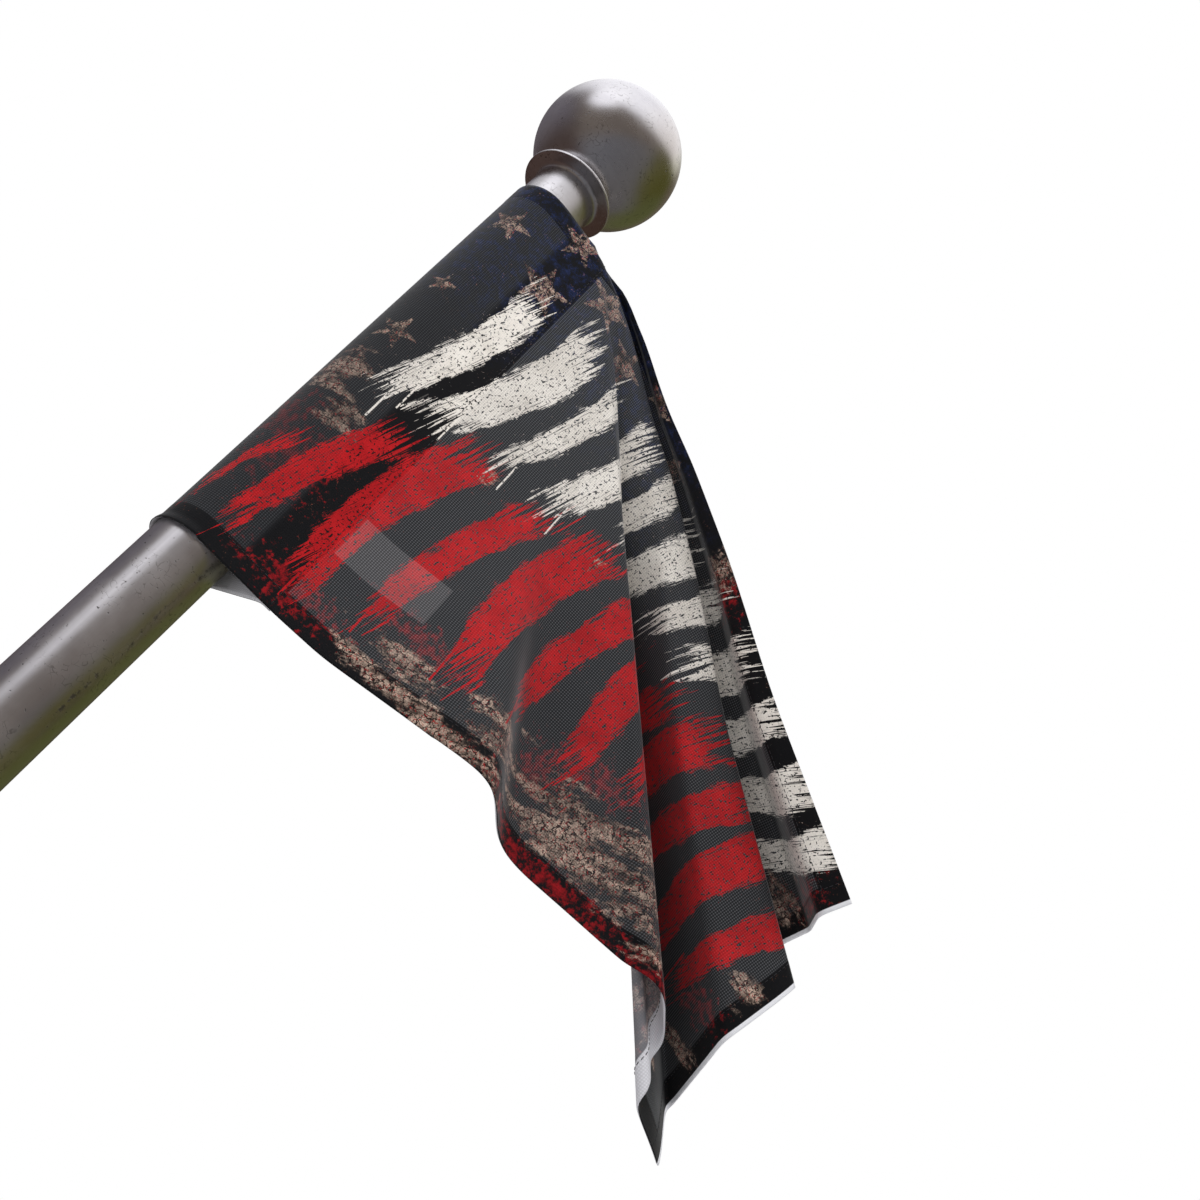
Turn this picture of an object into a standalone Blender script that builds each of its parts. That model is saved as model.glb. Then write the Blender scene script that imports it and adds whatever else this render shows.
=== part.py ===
"""Small flag on a tilted round pole with a ball finial.

The flag is a 12 by 18 inch sheet with a sewn pole sleeve.  It hangs still from
the sleeve: a wide flat panel lies plumb under the pole, and the rest of the
cloth falls from the upper corner in two pleats, a folded one and a looser one.

Frame: metres, +Z up.  The origin is the middle of the pole's lower end face.
The pole climbs in the XZ plane towards +X.  The printed face looks towards -Y.
"""
import math

import bmesh
import bpy
import numpy as np
from mathutils import Vector

# ---------------------------------------------------------------- named sizes
POLE_D = 0.0394            # outside diameter of the pole
POLE_TILT = 52.5           # degrees from level
POLE_JOINT = 0.008         # the finial's spigot line lies this far inside the sleeve
FIT = 0.0003               # gap between neighbouring pieces

HOIST = 0.305              # flag height along the pole
SLEEVE_TOP = 0.4846        # distance from the foot to the sleeve's upper rim
CLOTH_T = 0.0010           # cloth thickness
HEM_T = 0.0018             # thickness of the doubled hem
HEM_W = 0.0130             # width of the hem
SEAM_AT = 0.0467           # sleeve seam, from the line where the front leaves the pole
FLY_AT = 0.4255            # fly edge, from the same line
FOLD_AT = 0.0321           # the pleats fan out from this point of the top edge
CORNER_SAG = 0.0041        # the corner is drawn down the pole by the hanging cloth

LABEL_W, LABEL_L, LABEL_T = 0.026, 0.054, 0.0010
LABEL_DROP = 0.2340        # from the top edge to the label's upper side
LABEL_OUT = 0.0490         # from the leaving line to the label's sewn end

BALL_D = 0.0884
COLLAR_D = 0.0574
COLLAR_T = 0.0020
COLLAR_AT = 0.5095         # lower face of the collar, from the foot
BALL_AT = 0.5550           # centre of the ball, from the foot
NECK_D = 0.0320            # waist between collar and ball
FLARE = 0.0040             # how far below the collar the neck starts to widen

TURN_STEPS = 60            # facets around the turned pieces

# Plan of the pleats, seen from above.  Each row is one line of the cloth that
# runs down from the upper corner; lean_out and lean_back are the tangents of
# its lean from plumb, away along the pole and away from the printed side.
PLEATS = (
    # name               lean_out  lean_back
    ("panel edge",        0.074,   -0.033),
    ("turn behind",       0.111,    0.045),
    ("top of the turn",   0.091,    0.055),
    ("return behind",     0.077,    0.019),
    ("inner edge",        0.058,    0.033),
    ("lowest corner",     0.108,    0.068),
    ("round back",        0.156,    0.127),
    ("middle panel",      0.161,    0.015),
    ("middle front",      0.160,   -0.010),
    ("middle ridge",      0.227,   -0.037),
    ("middle edge",       0.267,   -0.037),
    ("second turn",       0.231,   -0.018),
    ("second inner edge", 0.183,    0.018),
    ("inner edge behind", 0.194,    0.036),
    ("second return",     0.321,   -0.015),
    ("outer panel",       0.320,   -0.018),
    ("outer front",       0.260,   -0.124),
    ("top edge",          0.303,   -0.172),
)
PLEAT_SOFT = 0.9           # half width, in degrees, over which a fold is rounded
# How far from the corner each pleat is fully formed, by its flat angle from the
# hoist.  Closer than that the same fold is still opening out.
FADES = (
    # name               angle   full_at
    ("flat panel",         0.0,   0.1905),
    ("folded pleat",      44.0,   0.1905),
    ("lowest corner",     52.0,   0.0985),
    ("round back",        58.0,   0.3000),
    ("middle pleat",      64.0,   0.3000),
    ("second fold",       72.0,   0.0968),
    ("outer pleat",       84.0,   0.0500),
    ("top edge",          95.0,   0.0500),
)
FADE_REACH = 0.3000        # beyond this distance every pleat is fully formed
CORNER_TURN = 104.9        # degrees that the cloth curls away where it has no pleats yet
CORNER_TURN_FROM, CORNER_TURN_OVER = 52.2, 45.7
PANEL_ANGLE = 42.9         # where the flat panel ends, in degrees from the hoist

# Ripple of the lower edge of the flat panel: how far the edge stands towards
# the printed side at a distance out from the pole.  Its crests run up towards
# the corner that the pleats hang from, and die out on the way.
RIPPLE = (
    # name             out      stand
    ("pole",           0.000,   0.0000),
    ("seam",           0.047,  -0.0015),
    ("beside seam",    0.079,   0.0010),
    ("swell",          0.102,   0.0089),
    ("swell side",     0.128,   0.0177),
    ("crest side",     0.150,   0.0246),
    ("crest",          0.166,   0.0280),
    ("crest end",      0.175,   0.0256),
    ("fall",           0.185,   0.0148),
    ("middle of fall", 0.195,  -0.0039),
    ("foot of fall",   0.207,  -0.0187),
    ("trough",         0.223,  -0.0236),
    ("trough side",    0.246,  -0.0227),
    ("rise",           0.286,  -0.0217),
    ("panel end",      0.319,  -0.0177),
    ("behind",         0.339,  -0.0118),
)
RIPPLE_UP = 0.148          # the ripple dies out this far above the lower edge
RIPPLE_SOFT = 0.006        # half width over which the table's corners are rounded

PANEL_COLUMNS = 26         # mesh columns across the flat panel
PLEAT_STEP = 0.75          # degrees between mesh columns in the pleats
BODY_ROWS = 13             # mesh rows between the corner arc and the hem
ROW_CROWD = 1.3            # above 1, the rows lie closer together near the corner
CORNER_R = 0.0350          # radius of the small plain patch at the corner
WRAP_STEPS = 22            # steps around the pole
LAYER_STEPS = 4            # steps along each straight sleeve layer
LEVELS = 41                # stages between the plain corner and the full pleats
CURVE_N = 3000             # samples along the pleats' plan

# ------------------------------------------------------------- derived frames
TILT = math.radians(POLE_TILT)
ALONG = np.array((math.cos(TILT), 0.0, math.sin(TILT)))    # up the pole
UNDER = np.array((math.sin(TILT), 0.0, -math.cos(TILT)))   # square to it, downwards
FACE = np.array((0.0, -1.0, 0.0))                          # out of the printed side
POLE_R = POLE_D / 2
WRAP_R = POLE_R + FIT + CLOTH_T / 2                        # middle of the cloth on the pole
CORNER = ALONG * SLEEVE_TOP + UNDER * FOLD_AT + FACE * WRAP_R


def ease(x):
    x = np.clip(x, 0.0, 1.0)
    return x * x * (3.0 - 2.0 * x)


# ------------------------------------------------------------------ the drape
def pleat_fan():
    """Directions of the cloth's lines from the corner, for every stage of pleating.

    The plan in PLEATS is rounded at its corners.  Its length along the unit
    sphere is the flat angle of the cloth, so the cloth keeps its size.  A lower
    stage turns the same path less sharply, as cloth does close to its corner.
    """
    pts = [(-0.35, 0.0)] + [(row[1], row[2]) for row in PLEATS]
    (ax, ay), (bx, by) = pts[-1], pts[-2]
    pts.append((ax + 3 * (ax - bx), ay + 3 * (ay - by)))
    pts = np.array(pts)
    run = np.concatenate([[0.0], np.cumsum(np.hypot(*np.diff(pts, axis=0).T))])
    t = np.linspace(0.0, run[-1], CURVE_N)
    path = np.stack([np.interp(t, run, pts[:, k]) for k in (0, 1)], axis=1)
    half = max(1, int(math.radians(PLEAT_SOFT) / t[1]))
    kernel = np.ones(2 * half + 1) / (2 * half + 1)
    for _ in range(2):
        padded = np.concatenate([np.repeat(path[:1], half, 0), path, np.repeat(path[-1:], half, 0)])
        path = np.stack([np.convolve(padded[:, k], kernel, "valid") for k in (0, 1)], axis=1)

    def unit(plan):
        d = np.stack([plan[:, 0], plan[:, 1], -np.ones(len(plan))], axis=1)
        return d / np.linalg.norm(d, axis=1)[:, None]

    full = unit(path)
    steps = np.degrees(np.linalg.norm(np.diff(full, axis=0), axis=1))
    first = math.degrees(math.atan(path[0, 0])) + (90.0 - POLE_TILT)
    angle = first + np.concatenate([[0.0], np.cumsum(steps)])
    move = np.diff(path, axis=0)
    length = np.hypot(move[:, 0], move[:, 1])
    heading = np.unwrap(np.arctan2(move[:, 1], move[:, 0]))
    middle = 0.5 * (angle[1:] + angle[:-1])
    curl = math.radians(CORNER_TURN) * ease((middle - CORNER_TURN_FROM) / CORNER_TURN_OVER)
    stages = []
    full_at = np.interp(middle, [row[1] for row in FADES], [row[2] for row in FADES])
    for reach in np.linspace(0.0, FADE_REACH, LEVELS):
        g = ease(reach / full_at)
        h = g * heading + (1.0 - g) * curl
        plan = path[0] + np.concatenate(
            [[[0.0, 0.0]], np.cumsum(np.stack([np.cos(h) * length, np.sin(h) * length], axis=1), axis=0)]
        )
        stages.append(unit(plan))
    return angle, np.array(stages)


def soft_ripple():
    """The ripple table as an even run of samples with its corners rounded."""
    out = np.arange(0.0, RIPPLE[-1][1], 0.001)
    stand = np.interp(out, [row[1] for row in RIPPLE], [row[2] for row in RIPPLE])
    half = round(RIPPLE_SOFT / 0.001)
    kernel = np.ones(2 * half + 1) / (2 * half + 1)
    for _ in range(2):
        padded = np.concatenate([np.repeat(stand[:1], half), stand, np.repeat(stand[-1:], half)])
        stand = np.convolve(padded, kernel, "valid")
    return out, stand


FAN_ANGLE, FAN = pleat_fan()
RIPPLE_OUT, RIPPLE_STAND = soft_ripple()


def drape(out, down):
    """Where the cloth's middle lies, from its flat place.

    out is the distance from the line where the front layer leaves the pole and
    down the distance from the top edge, both measured on the flat cloth.
    """
    out = np.asarray(out, float)
    down = np.asarray(down, float)
    x = out - FOLD_AT
    r = np.hypot(x, down)
    phi = np.degrees(np.arctan2(x, down))
    swing = np.radians(phi - 90.0) + TILT
    plain = np.stack([np.sin(swing), 0.0 * phi, -np.cos(swing)], axis=-1)
    g = np.minimum(r / FADE_REACH, 1.0) * (LEVELS - 1)
    low = np.clip(g.astype(int), 0, LEVELS - 2)
    part = (g - low)[..., None]
    at = np.interp(phi, FAN_ANGLE, np.arange(CURVE_N))
    i = np.clip(at.astype(int), 0, CURVE_N - 2)
    f = (at - i)[..., None]
    a = FAN[low, i] * (1 - f) + FAN[low, i + 1] * f
    b = FAN[low + 1, i] * (1 - f) + FAN[low + 1, i + 1] * f
    line = np.where((phi < FAN_ANGLE[0] + 1.0)[..., None], plain, a * (1 - part) + b * part)
    line = line / np.linalg.norm(line, axis=-1)[..., None]
    place = CORNER + r[..., None] * line
    edge_out = FOLD_AT + HOIST * np.tan(np.radians(np.clip(phi, -80.0, 60.0)))
    stand = np.interp(edge_out, RIPPLE_OUT, RIPPLE_STAND)
    stand = stand * (1.0 - ease((HOIST - down) / RIPPLE_UP)) * (1.0 - ease((phi - 40.0) / 4.0))
    sag = CORNER_SAG * ease(out / FOLD_AT) * (1.0 - ease(r / (5 * POLE_R)))
    return place + FACE * stand[..., None] - ALONG * sag[..., None]


def facing(out, down, step=0.0008):
    """Unit normal of the draped cloth, out of the printed side."""
    du = drape(out + step, down) - drape(out - step, down)
    dv = drape(out, down + step) - drape(out, down - step)
    n = np.cross(dv, du)
    return n / np.linalg.norm(n, axis=-1)[..., None]


# --------------------------------------------------------------- flat pattern
def lower_or_fly(angle, inset):
    """Where a line from the corner at this flat angle meets the lower or fly edge."""
    a = math.radians(angle)
    r = (HOIST - inset) / max(math.cos(a), 1e-9)
    if FOLD_AT + r * math.sin(a) > FLY_AT - inset:
        r = (FLY_AT - inset - FOLD_AT) / math.sin(a)
    return np.array((FOLD_AT + r * math.sin(a), r * math.cos(a)))


def column(start, stop_hem, stop_edge):
    """Flat places down one mesh column: body rows, the hem's two lines and the edge."""
    rows = [start + (stop_hem - start) * (k / BODY_ROWS) ** ROW_CROWD for k in range(BODY_ROWS)]
    back = stop_hem + (start - stop_hem) * 0.0012 / np.linalg.norm(start - stop_hem)
    return rows + [back, stop_hem, stop_edge]


def flat_columns():
    seam_start = np.array((SEAM_AT, math.sqrt(CORNER_R**2 - (SEAM_AT - FOLD_AT) ** 2)))
    seam = [seam_start, np.array((SEAM_AT, HOIST - HEM_W)), np.array((SEAM_AT, HOIST))]
    a = math.radians(PANEL_ANGLE)
    edge = [
        np.array((FOLD_AT + CORNER_R * math.sin(a), CORNER_R * math.cos(a))),
        lower_or_fly(PANEL_ANGLE, HEM_W),
        lower_or_fly(PANEL_ANGLE, 0.0),
    ]
    columns = []
    for k in range(PANEL_COLUMNS):
        w = k / PANEL_COLUMNS
        columns.append(column(*[(1 - w) * s + w * e for s, e in zip(seam, edge)]))
    count = round((90.0 - PANEL_ANGLE) / PLEAT_STEP)
    for k in range(count):
        angle = PANEL_ANGLE + (90.0 - PANEL_ANGLE) * k / count
        a = math.radians(angle)
        start = np.array((FOLD_AT + CORNER_R * math.sin(a), CORNER_R * math.cos(a)))
        columns.append(column(start, lower_or_fly(angle, HEM_W), lower_or_fly(angle, 0.0)))
    columns.append(
        column(
            np.array((FOLD_AT + CORNER_R, 0.0)),
            np.array((FLY_AT - HEM_W, 0.0)),
            np.array((FLY_AT, 0.0)),
        )
    )
    return np.array(columns)


# ----------------------------------------------------------------- the solids
def flag_mesh():
    """One closed skin: a P-shaped section lofted along the hoist.

    The sleeve's loop and the panel meet in a T at the seam, and every section
    differs from the next, so the skin is made here from its sections.
    """
    flat = flat_columns()                                   # columns, rows, 2
    corner_flat = np.array((SEAM_AT, 0.0))
    n_col, n_row = flat.shape[0], flat.shape[1] + 1
    grid = np.empty((n_col, n_row, 2))
    grid[:, 0] = corner_flat
    grid[:, 1:] = flat
    mid = drape(grid[..., 0], grid[..., 1])
    # normals from the grid itself, so that the two skins stay evenly apart
    du = np.empty_like(mid)
    du[1:-1] = mid[2:] - mid[:-2]
    du[0], du[-1] = mid[1] - mid[0], mid[-1] - mid[-2]
    dv = np.empty_like(mid)
    dv[:, 1:-1] = mid[:, 2:] - mid[:, :-2]
    dv[:, 0], dv[:, -1] = mid[:, 1] - mid[:, 0], mid[:, -1] - mid[:, -2]
    normal = np.cross(dv, du)
    normal[:, 0] = FACE
    normal /= np.linalg.norm(normal, axis=-1)[..., None]
    thick = np.full((n_col, n_row), CLOTH_T)
    thick[1:, -2:] = HEM_T
    front = mid + normal * CLOTH_T / 2
    back = mid - normal * (thick - CLOTH_T / 2)[..., None]

    verts, faces = [], []

    def add(p):
        verts.append(tuple(float(c) for c in p))
        return len(verts) - 1

    f_id = np.empty((n_col, n_row), int)
    b_id = np.empty((n_col, n_row), int)
    kf, kb = add(front[0, 0]), None
    f_id[:, 0] = kf
    for i in range(n_col):
        for j in range(1, n_row):
            f_id[i, j] = add(front[i, j])

    # sleeve loop of each row, in the plane square to the pole: a under, b to the face
    outer, inner, join_in, join_out = [], [], [], []
    for j in range(n_row):
        seam = mid[0, j]
        down = grid[0, j, 1]
        sa, sb = seam @ UNDER, seam @ FACE
        reach = math.hypot(sa, sb)
        axis_to_seam = math.atan2(sa, sb)                   # from the face towards under
        leave = axis_to_seam + math.acos(WRAP_R / reach)    # where the back layer leaves
        start = axis_to_seam - math.acos(WRAP_R / reach)    # where the front layer leaves
        turn = 2 * math.pi - (leave - start)
        along_pole = SLEEVE_TOP - down
        along_seam = seam @ ALONG
        loop = []                                           # a, b, along, normal a, normal b
        for k in range(1, LAYER_STEPS):
            w = k / LAYER_STEPS
            ta, tb = WRAP_R * math.sin(start), WRAP_R * math.cos(start)
            s = along_seam + (along_pole - along_seam) * w
            loop.append((sa + (ta - sa) * w, sb + (tb - sb) * w, s, math.sin(start), math.cos(start)))
        for k in range(WRAP_STEPS + 1):
            ang = start - turn * k / WRAP_STEPS
            sn, cs = math.sin(ang), math.cos(ang)
            loop.append((WRAP_R * sn, WRAP_R * cs, along_pole, sn, cs))
        for k in range(1, LAYER_STEPS):
            w = k / LAYER_STEPS
            ta, tb = WRAP_R * math.sin(leave), WRAP_R * math.cos(leave)
            s = along_pole + (along_seam - along_pole) * w
            loop.append((ta + (sa - ta) * w, tb + (sb - tb) * w, s, math.sin(leave), math.cos(leave)))
        spot = lambda a, b, s: UNDER * a + FACE * b + ALONG * s
        outer.append([add(spot(a + na * CLOTH_T / 2, b + nb * CLOTH_T / 2, s)) for a, b, s, na, nb in loop])
        inner.append([add(spot(a - na * CLOTH_T / 2, b - nb * CLOTH_T / 2, s)) for a, b, s, na, nb in loop])
        # corners of the T: inside the sleeve, and behind the panel
        to_front = np.array((WRAP_R * math.sin(start) - sa, WRAP_R * math.cos(start) - sb))
        to_back = np.array((WRAP_R * math.sin(leave) - sa, WRAP_R * math.cos(leave) - sb))
        to_fly = mid[1, max(j, 1)] - mid[0, max(j, 1)]
        to_fly = np.array((to_fly @ UNDER, to_fly @ FACE))
        to_front, to_back, to_fly = (v / np.linalg.norm(v) for v in (to_front, to_back, to_fly))
        for one, two, ids in ((to_front, to_back, join_in), (to_fly, to_back, join_out)):
            mitre = one + two
            mitre /= np.linalg.norm(mitre)
            half = 0.5 * math.acos(float(np.clip(one @ two, -1, 1)))
            m = mitre * CLOTH_T / 2 / math.sin(half)
            ids.append(add(spot(sa + m[0], sb + m[1], along_seam)))
    kb = join_out[0]
    b_id[:, 0] = kb
    for i in range(n_col):
        for j in range(1, n_row):
            b_id[i, j] = join_out[j] if i == 0 else add(back[i, j])

    def quad(*ids):
        ids = [v for k, v in enumerate(ids) if v != ids[k - 1]]
        if len(ids) > 2:
            faces.append(tuple(ids))

    for i in range(n_col - 1):
        for j in range(n_row - 1):
            quad(f_id[i, j], f_id[i, j + 1], f_id[i + 1, j + 1], f_id[i + 1, j])
            quad(b_id[i, j], b_id[i + 1, j], b_id[i + 1, j + 1], b_id[i, j + 1])
    last = n_row - 1
    for i in range(n_col - 1):                              # lower and fly edges
        quad(f_id[i, last], b_id[i, last], b_id[i + 1, last], f_id[i + 1, last])
    for j in range(n_row - 1):                              # top edge
        quad(f_id[-1, j], f_id[-1, j + 1], b_id[-1, j + 1], b_id[-1, j])
    n_loop = len(outer[0])
    for j in range(n_row - 1):
        ring = [f_id[0, j]] + outer[j] + [join_out[j]]
        below = [f_id[0, j + 1]] + outer[j + 1] + [join_out[j + 1]]
        for k in range(len(ring) - 1):
            quad(ring[k], ring[k + 1], below[k + 1], below[k])
        hole = [join_in[j]] + inner[j] + [join_in[j]]
        hole_below = [join_in[j + 1]] + inner[j + 1] + [join_in[j + 1]]
        for k in range(len(hole) - 1):
            quad(hole[k], hole_below[k], hole_below[k + 1], hole[k + 1])
    for j, flip in ((0, False), (last, True)):              # rims of the sleeve
        ring = [f_id[0, j]] + outer[j] + [join_out[j]]
        hole = [join_in[j]] + inner[j] + [join_in[j]]
        for k in range(len(ring) - 1):
            ids = (ring[k], hole[k], hole[k + 1], ring[k + 1])
            quad(*(ids[::-1] if flip else ids))
        tri = (f_id[0, j], join_out[j], join_in[j])
        quad(*(tri[::-1] if flip else tri))
    return verts, faces


def make_object(name, verts, faces, material, smooth=True):
    mesh = bpy.data.meshes.new(name)
    mesh.from_pydata(verts, [], faces)
    bm = bmesh.new()
    bm.from_mesh(mesh)
    bmesh.ops.recalc_face_normals(bm, faces=bm.faces)
    bm.to_mesh(mesh)
    bm.free()
    for poly in mesh.polygons:
        poly.use_smooth = smooth
    obj = bpy.data.objects.new(name, mesh)
    mesh.materials.append(material)
    return obj


def finish(name, colour, roughness, metallic):
    mat = bpy.data.materials.new(name)
    mat.use_nodes = True
    shader = mat.node_tree.nodes["Principled BSDF"]
    shader.inputs["Base Color"].default_value = (*colour, 1.0)
    shader.inputs["Roughness"].default_value = roughness
    shader.inputs["Metallic"].default_value = metallic
    mat.diffuse_color = (*colour, 1.0)
    return mat


def label_object(material):
    """The sewn label: a small sheet just behind the panel, fixed at the seam."""
    n_l, n_w = 10, 5
    verts, faces = [], []
    shift = CLOTH_T / 2 + FIT + 0.0002 + LABEL_T / 2
    for i in range(n_l + 1):
        for j in range(n_w + 1):
            out = np.array(LABEL_OUT + LABEL_L * i / n_l)
            down = np.array(LABEL_DROP + LABEL_W * j / n_w)
            verts.append(tuple(drape(out, down) - facing(out, down) * shift))
    for i in range(n_l):
        for j in range(n_w):
            a = i * (n_w + 1) + j
            faces.append((a, a + 1, a + n_w + 2, a + n_w + 1))
    mesh = bpy.data.meshes.new("care_label")
    mesh.from_pydata(verts, [], faces)
    mesh.materials.append(material)
    obj = bpy.data.objects.new("care_label", mesh)
    shell = obj.modifiers.new("thickness", "SOLIDIFY")
    shell.thickness = LABEL_T
    shell.offset = 0.0
    shell.use_even_offset = True
    return obj


def finial_profile():
    """Half section of the finial, from the top of the ball down to its flat foot."""
    ball_r, collar_r, neck_r = BALL_D / 2, COLLAR_D / 2, NECK_D / 2
    foot = SLEEVE_TOP - POLE_JOINT + FIT
    points = []
    low = math.asin(neck_r / ball_r)
    for k in range(31):
        a = (math.pi - low) * k / 30
        points.append((ball_r * math.sin(a), BALL_AT + ball_r * math.cos(a)))
    points[0] = (0.0, BALL_AT + ball_r)
    top = COLLAR_AT + COLLAR_T
    points.append((neck_r, top + 0.0004))
    round_r = COLLAR_T * 0.4
    for k in range(5):                                      # rounded rim of the collar
        a = math.pi / 2 * k / 4
        points.append((collar_r - round_r + round_r * math.sin(a), top - round_r + round_r * math.cos(a)))
    for k in range(1, 5):
        a = math.pi / 2 * k / 4
        points.append((collar_r - round_r * (1 - math.cos(a)), COLLAR_AT + round_r * (1 - math.sin(a))))
    for k in range(1, 9):                                   # hollow flare down to the pole's size
        a = math.pi / 2 * k / 8
        points.append((POLE_R + FLARE * (1 - math.sin(a)), COLLAR_AT - FLARE * (1 - math.cos(a))))
    points.append((POLE_R, foot))
    points.append((0.0, foot))
    return points


def finial_object(material):
    points = finial_profile()
    mesh = bpy.data.meshes.new("finial")
    mesh.from_pydata([(r, 0.0, z) for r, z in points], [(k, k + 1) for k in range(len(points) - 1)], [])
    mesh.materials.append(material)
    obj = bpy.data.objects.new("finial", mesh)
    turn = obj.modifiers.new("turn", "SCREW")
    turn.axis = "Z"
    turn.steps = TURN_STEPS
    turn.render_steps = TURN_STEPS
    turn.use_merge_vertices = True
    turn.merge_threshold = 0.00001
    turn.use_smooth_shade = True
    obj.rotation_euler = (0.0, math.radians(90.0 - POLE_TILT), 0.0)
    return obj


def main():
    for obj in list(bpy.data.objects):
        bpy.data.objects.remove(obj, do_unlink=True)
    group = bpy.data.collections.new("flag_on_pole")
    bpy.context.scene.collection.children.link(group)

    cloth = finish("printed_polyester", (0.035, 0.037, 0.042), 0.75, 0.0)
    tape = finish("label_tape", (0.70, 0.70, 0.72), 0.70, 0.0)
    steel = finish("worn_steel_tube", (0.50, 0.50, 0.49), 0.32, 1.0)
    turned = finish("worn_steel_turned", (0.52, 0.51, 0.50), 0.28, 1.0)

    verts, faces = flag_mesh()
    group.objects.link(make_object("flag", verts, faces, cloth))
    group.objects.link(label_object(tape))
    group.objects.link(finial_object(turned))

    length = SLEEVE_TOP - POLE_JOINT
    bpy.ops.mesh.primitive_cylinder_add(vertices=TURN_STEPS, radius=POLE_R, depth=length)
    pole = bpy.context.object
    pole.name = pole.data.name = "pole"
    pole.data.materials.append(steel)
    for poly in pole.data.polygons:
        poly.use_smooth = len(poly.vertices) == 4
    pole.rotation_euler = (0.0, math.radians(90.0 - POLE_TILT), 0.0)
    pole.location = Vector(ALONG * (length / 2))
    for owner in list(pole.users_collection):
        owner.objects.unlink(pole)
    group.objects.link(pole)


main()
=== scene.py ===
"""Looks for the small flag on a tilted pole: printed cloth, label, steel pole and finial.

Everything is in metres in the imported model's frame.  The cloth follows the same
drape as the model's solid: out is the distance from the line where the sleeve's
front leaves the pole, down the distance from the top edge, both on the flat cloth.
"""
import math

import bmesh
import bpy
import numpy as np
from mathutils import Matrix, Vector


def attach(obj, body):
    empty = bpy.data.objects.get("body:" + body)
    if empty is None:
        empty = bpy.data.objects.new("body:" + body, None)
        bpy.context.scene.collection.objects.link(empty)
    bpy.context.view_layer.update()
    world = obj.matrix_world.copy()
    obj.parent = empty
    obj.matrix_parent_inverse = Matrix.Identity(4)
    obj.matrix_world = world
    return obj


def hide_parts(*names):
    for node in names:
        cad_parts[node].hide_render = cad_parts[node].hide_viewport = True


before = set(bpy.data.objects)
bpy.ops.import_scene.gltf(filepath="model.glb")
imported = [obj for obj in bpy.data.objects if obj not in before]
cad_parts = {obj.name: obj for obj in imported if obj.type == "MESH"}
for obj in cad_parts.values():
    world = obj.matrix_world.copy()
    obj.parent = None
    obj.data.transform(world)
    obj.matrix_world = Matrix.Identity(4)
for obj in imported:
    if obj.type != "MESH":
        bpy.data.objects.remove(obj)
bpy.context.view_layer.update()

# ---------------------------------------------------------------- named sizes
POLE_D = 0.0394
POLE_TILT = 52.5
FIT = 0.0003
HOIST = 0.305
SLEEVE_TOP = 0.4846
SOLID_T = 0.0010
CLOTH_T = 0.00055          # real look of the cloth, inside the solid's 1 mm
HEM_T = 0.0012
HEM_W = 0.0130
SEAM_AT = 0.0467
FLAP = 0.0060              # turned edge sewn flat behind the seam
FLY_AT = 0.4255
FOLD_AT = 0.0321
CORNER_SAG = 0.0041
LABEL_W, LABEL_L = 0.026, 0.054
LABEL_DROP = 0.2340
LABEL_OUT = 0.0490
POLE_JOINT = 0.008
BALL_D, COLLAR_D, COLLAR_T, NECK_D = 0.0884, 0.0574, 0.0020, 0.0320
COLLAR_AT, BALL_AT, FLARE = 0.5095, 0.5550, 0.0028

PLEATS = (
    # name               lean_out  lean_back
    ("panel edge",        0.074,   -0.033),
    ("turn behind",       0.111,    0.045),
    ("top of the turn",   0.091,    0.055),
    ("return behind",     0.077,    0.019),
    ("inner edge",        0.058,    0.033),
    ("lowest corner",     0.108,    0.068),
    ("round back",        0.156,    0.127),
    ("middle panel",      0.161,    0.015),
    ("middle front",      0.160,   -0.010),
    ("middle ridge",      0.227,   -0.037),
    ("middle edge",       0.267,   -0.037),
    ("second turn",       0.231,   -0.018),
    ("second inner edge", 0.183,    0.018),
    ("inner edge behind", 0.194,    0.036),
    ("second return",     0.321,   -0.015),
    ("outer panel",       0.320,   -0.018),
    ("outer front",       0.260,   -0.124),
    ("top edge",          0.303,   -0.172),
)
PLEAT_SOFT = 0.9
# How far from the corner each pleat is fully formed, by its flat angle from the
# hoist.  Closer than that the same fold is still opening out.
FADES = (
    # name               angle   full_at
    ("flat panel",         0.0,   0.1905),
    ("folded pleat",      44.0,   0.1905),
    ("lowest corner",     52.0,   0.0985),
    ("round back",        58.0,   0.3000),
    ("middle pleat",      64.0,   0.3000),
    ("second fold",       72.0,   0.0968),
    ("outer pleat",       84.0,   0.0500),
    ("top edge",          95.0,   0.0500),
)
FADE_REACH = 0.3000        # beyond this distance every pleat is fully formed
CORNER_TURN = 104.9        # degrees that the cloth curls away where it has no pleats yet
CORNER_TURN_FROM, CORNER_TURN_OVER = 52.2, 45.7
PANEL_ANGLE = 42.9
RIPPLE = (
    # name             out      stand
    ("pole",           0.000,   0.0000),
    ("seam",           0.047,  -0.0015),
    ("beside seam",    0.079,   0.0010),
    ("swell",          0.102,   0.0089),
    ("swell side",     0.128,   0.0177),
    ("crest side",     0.150,   0.0246),
    ("crest",          0.166,   0.0280),
    ("crest end",      0.175,   0.0256),
    ("fall",           0.185,   0.0148),
    ("middle of fall", 0.195,  -0.0039),
    ("foot of fall",   0.207,  -0.0187),
    ("trough",         0.223,  -0.0236),
    ("trough side",    0.246,  -0.0227),
    ("rise",           0.286,  -0.0217),
    ("panel end",      0.319,  -0.0177),
    ("behind",         0.339,  -0.0118),
)
RIPPLE_UP = 0.148
RIPPLE_SOFT = 0.006
LEVELS = 41
CURVE_N = 3000

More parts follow.
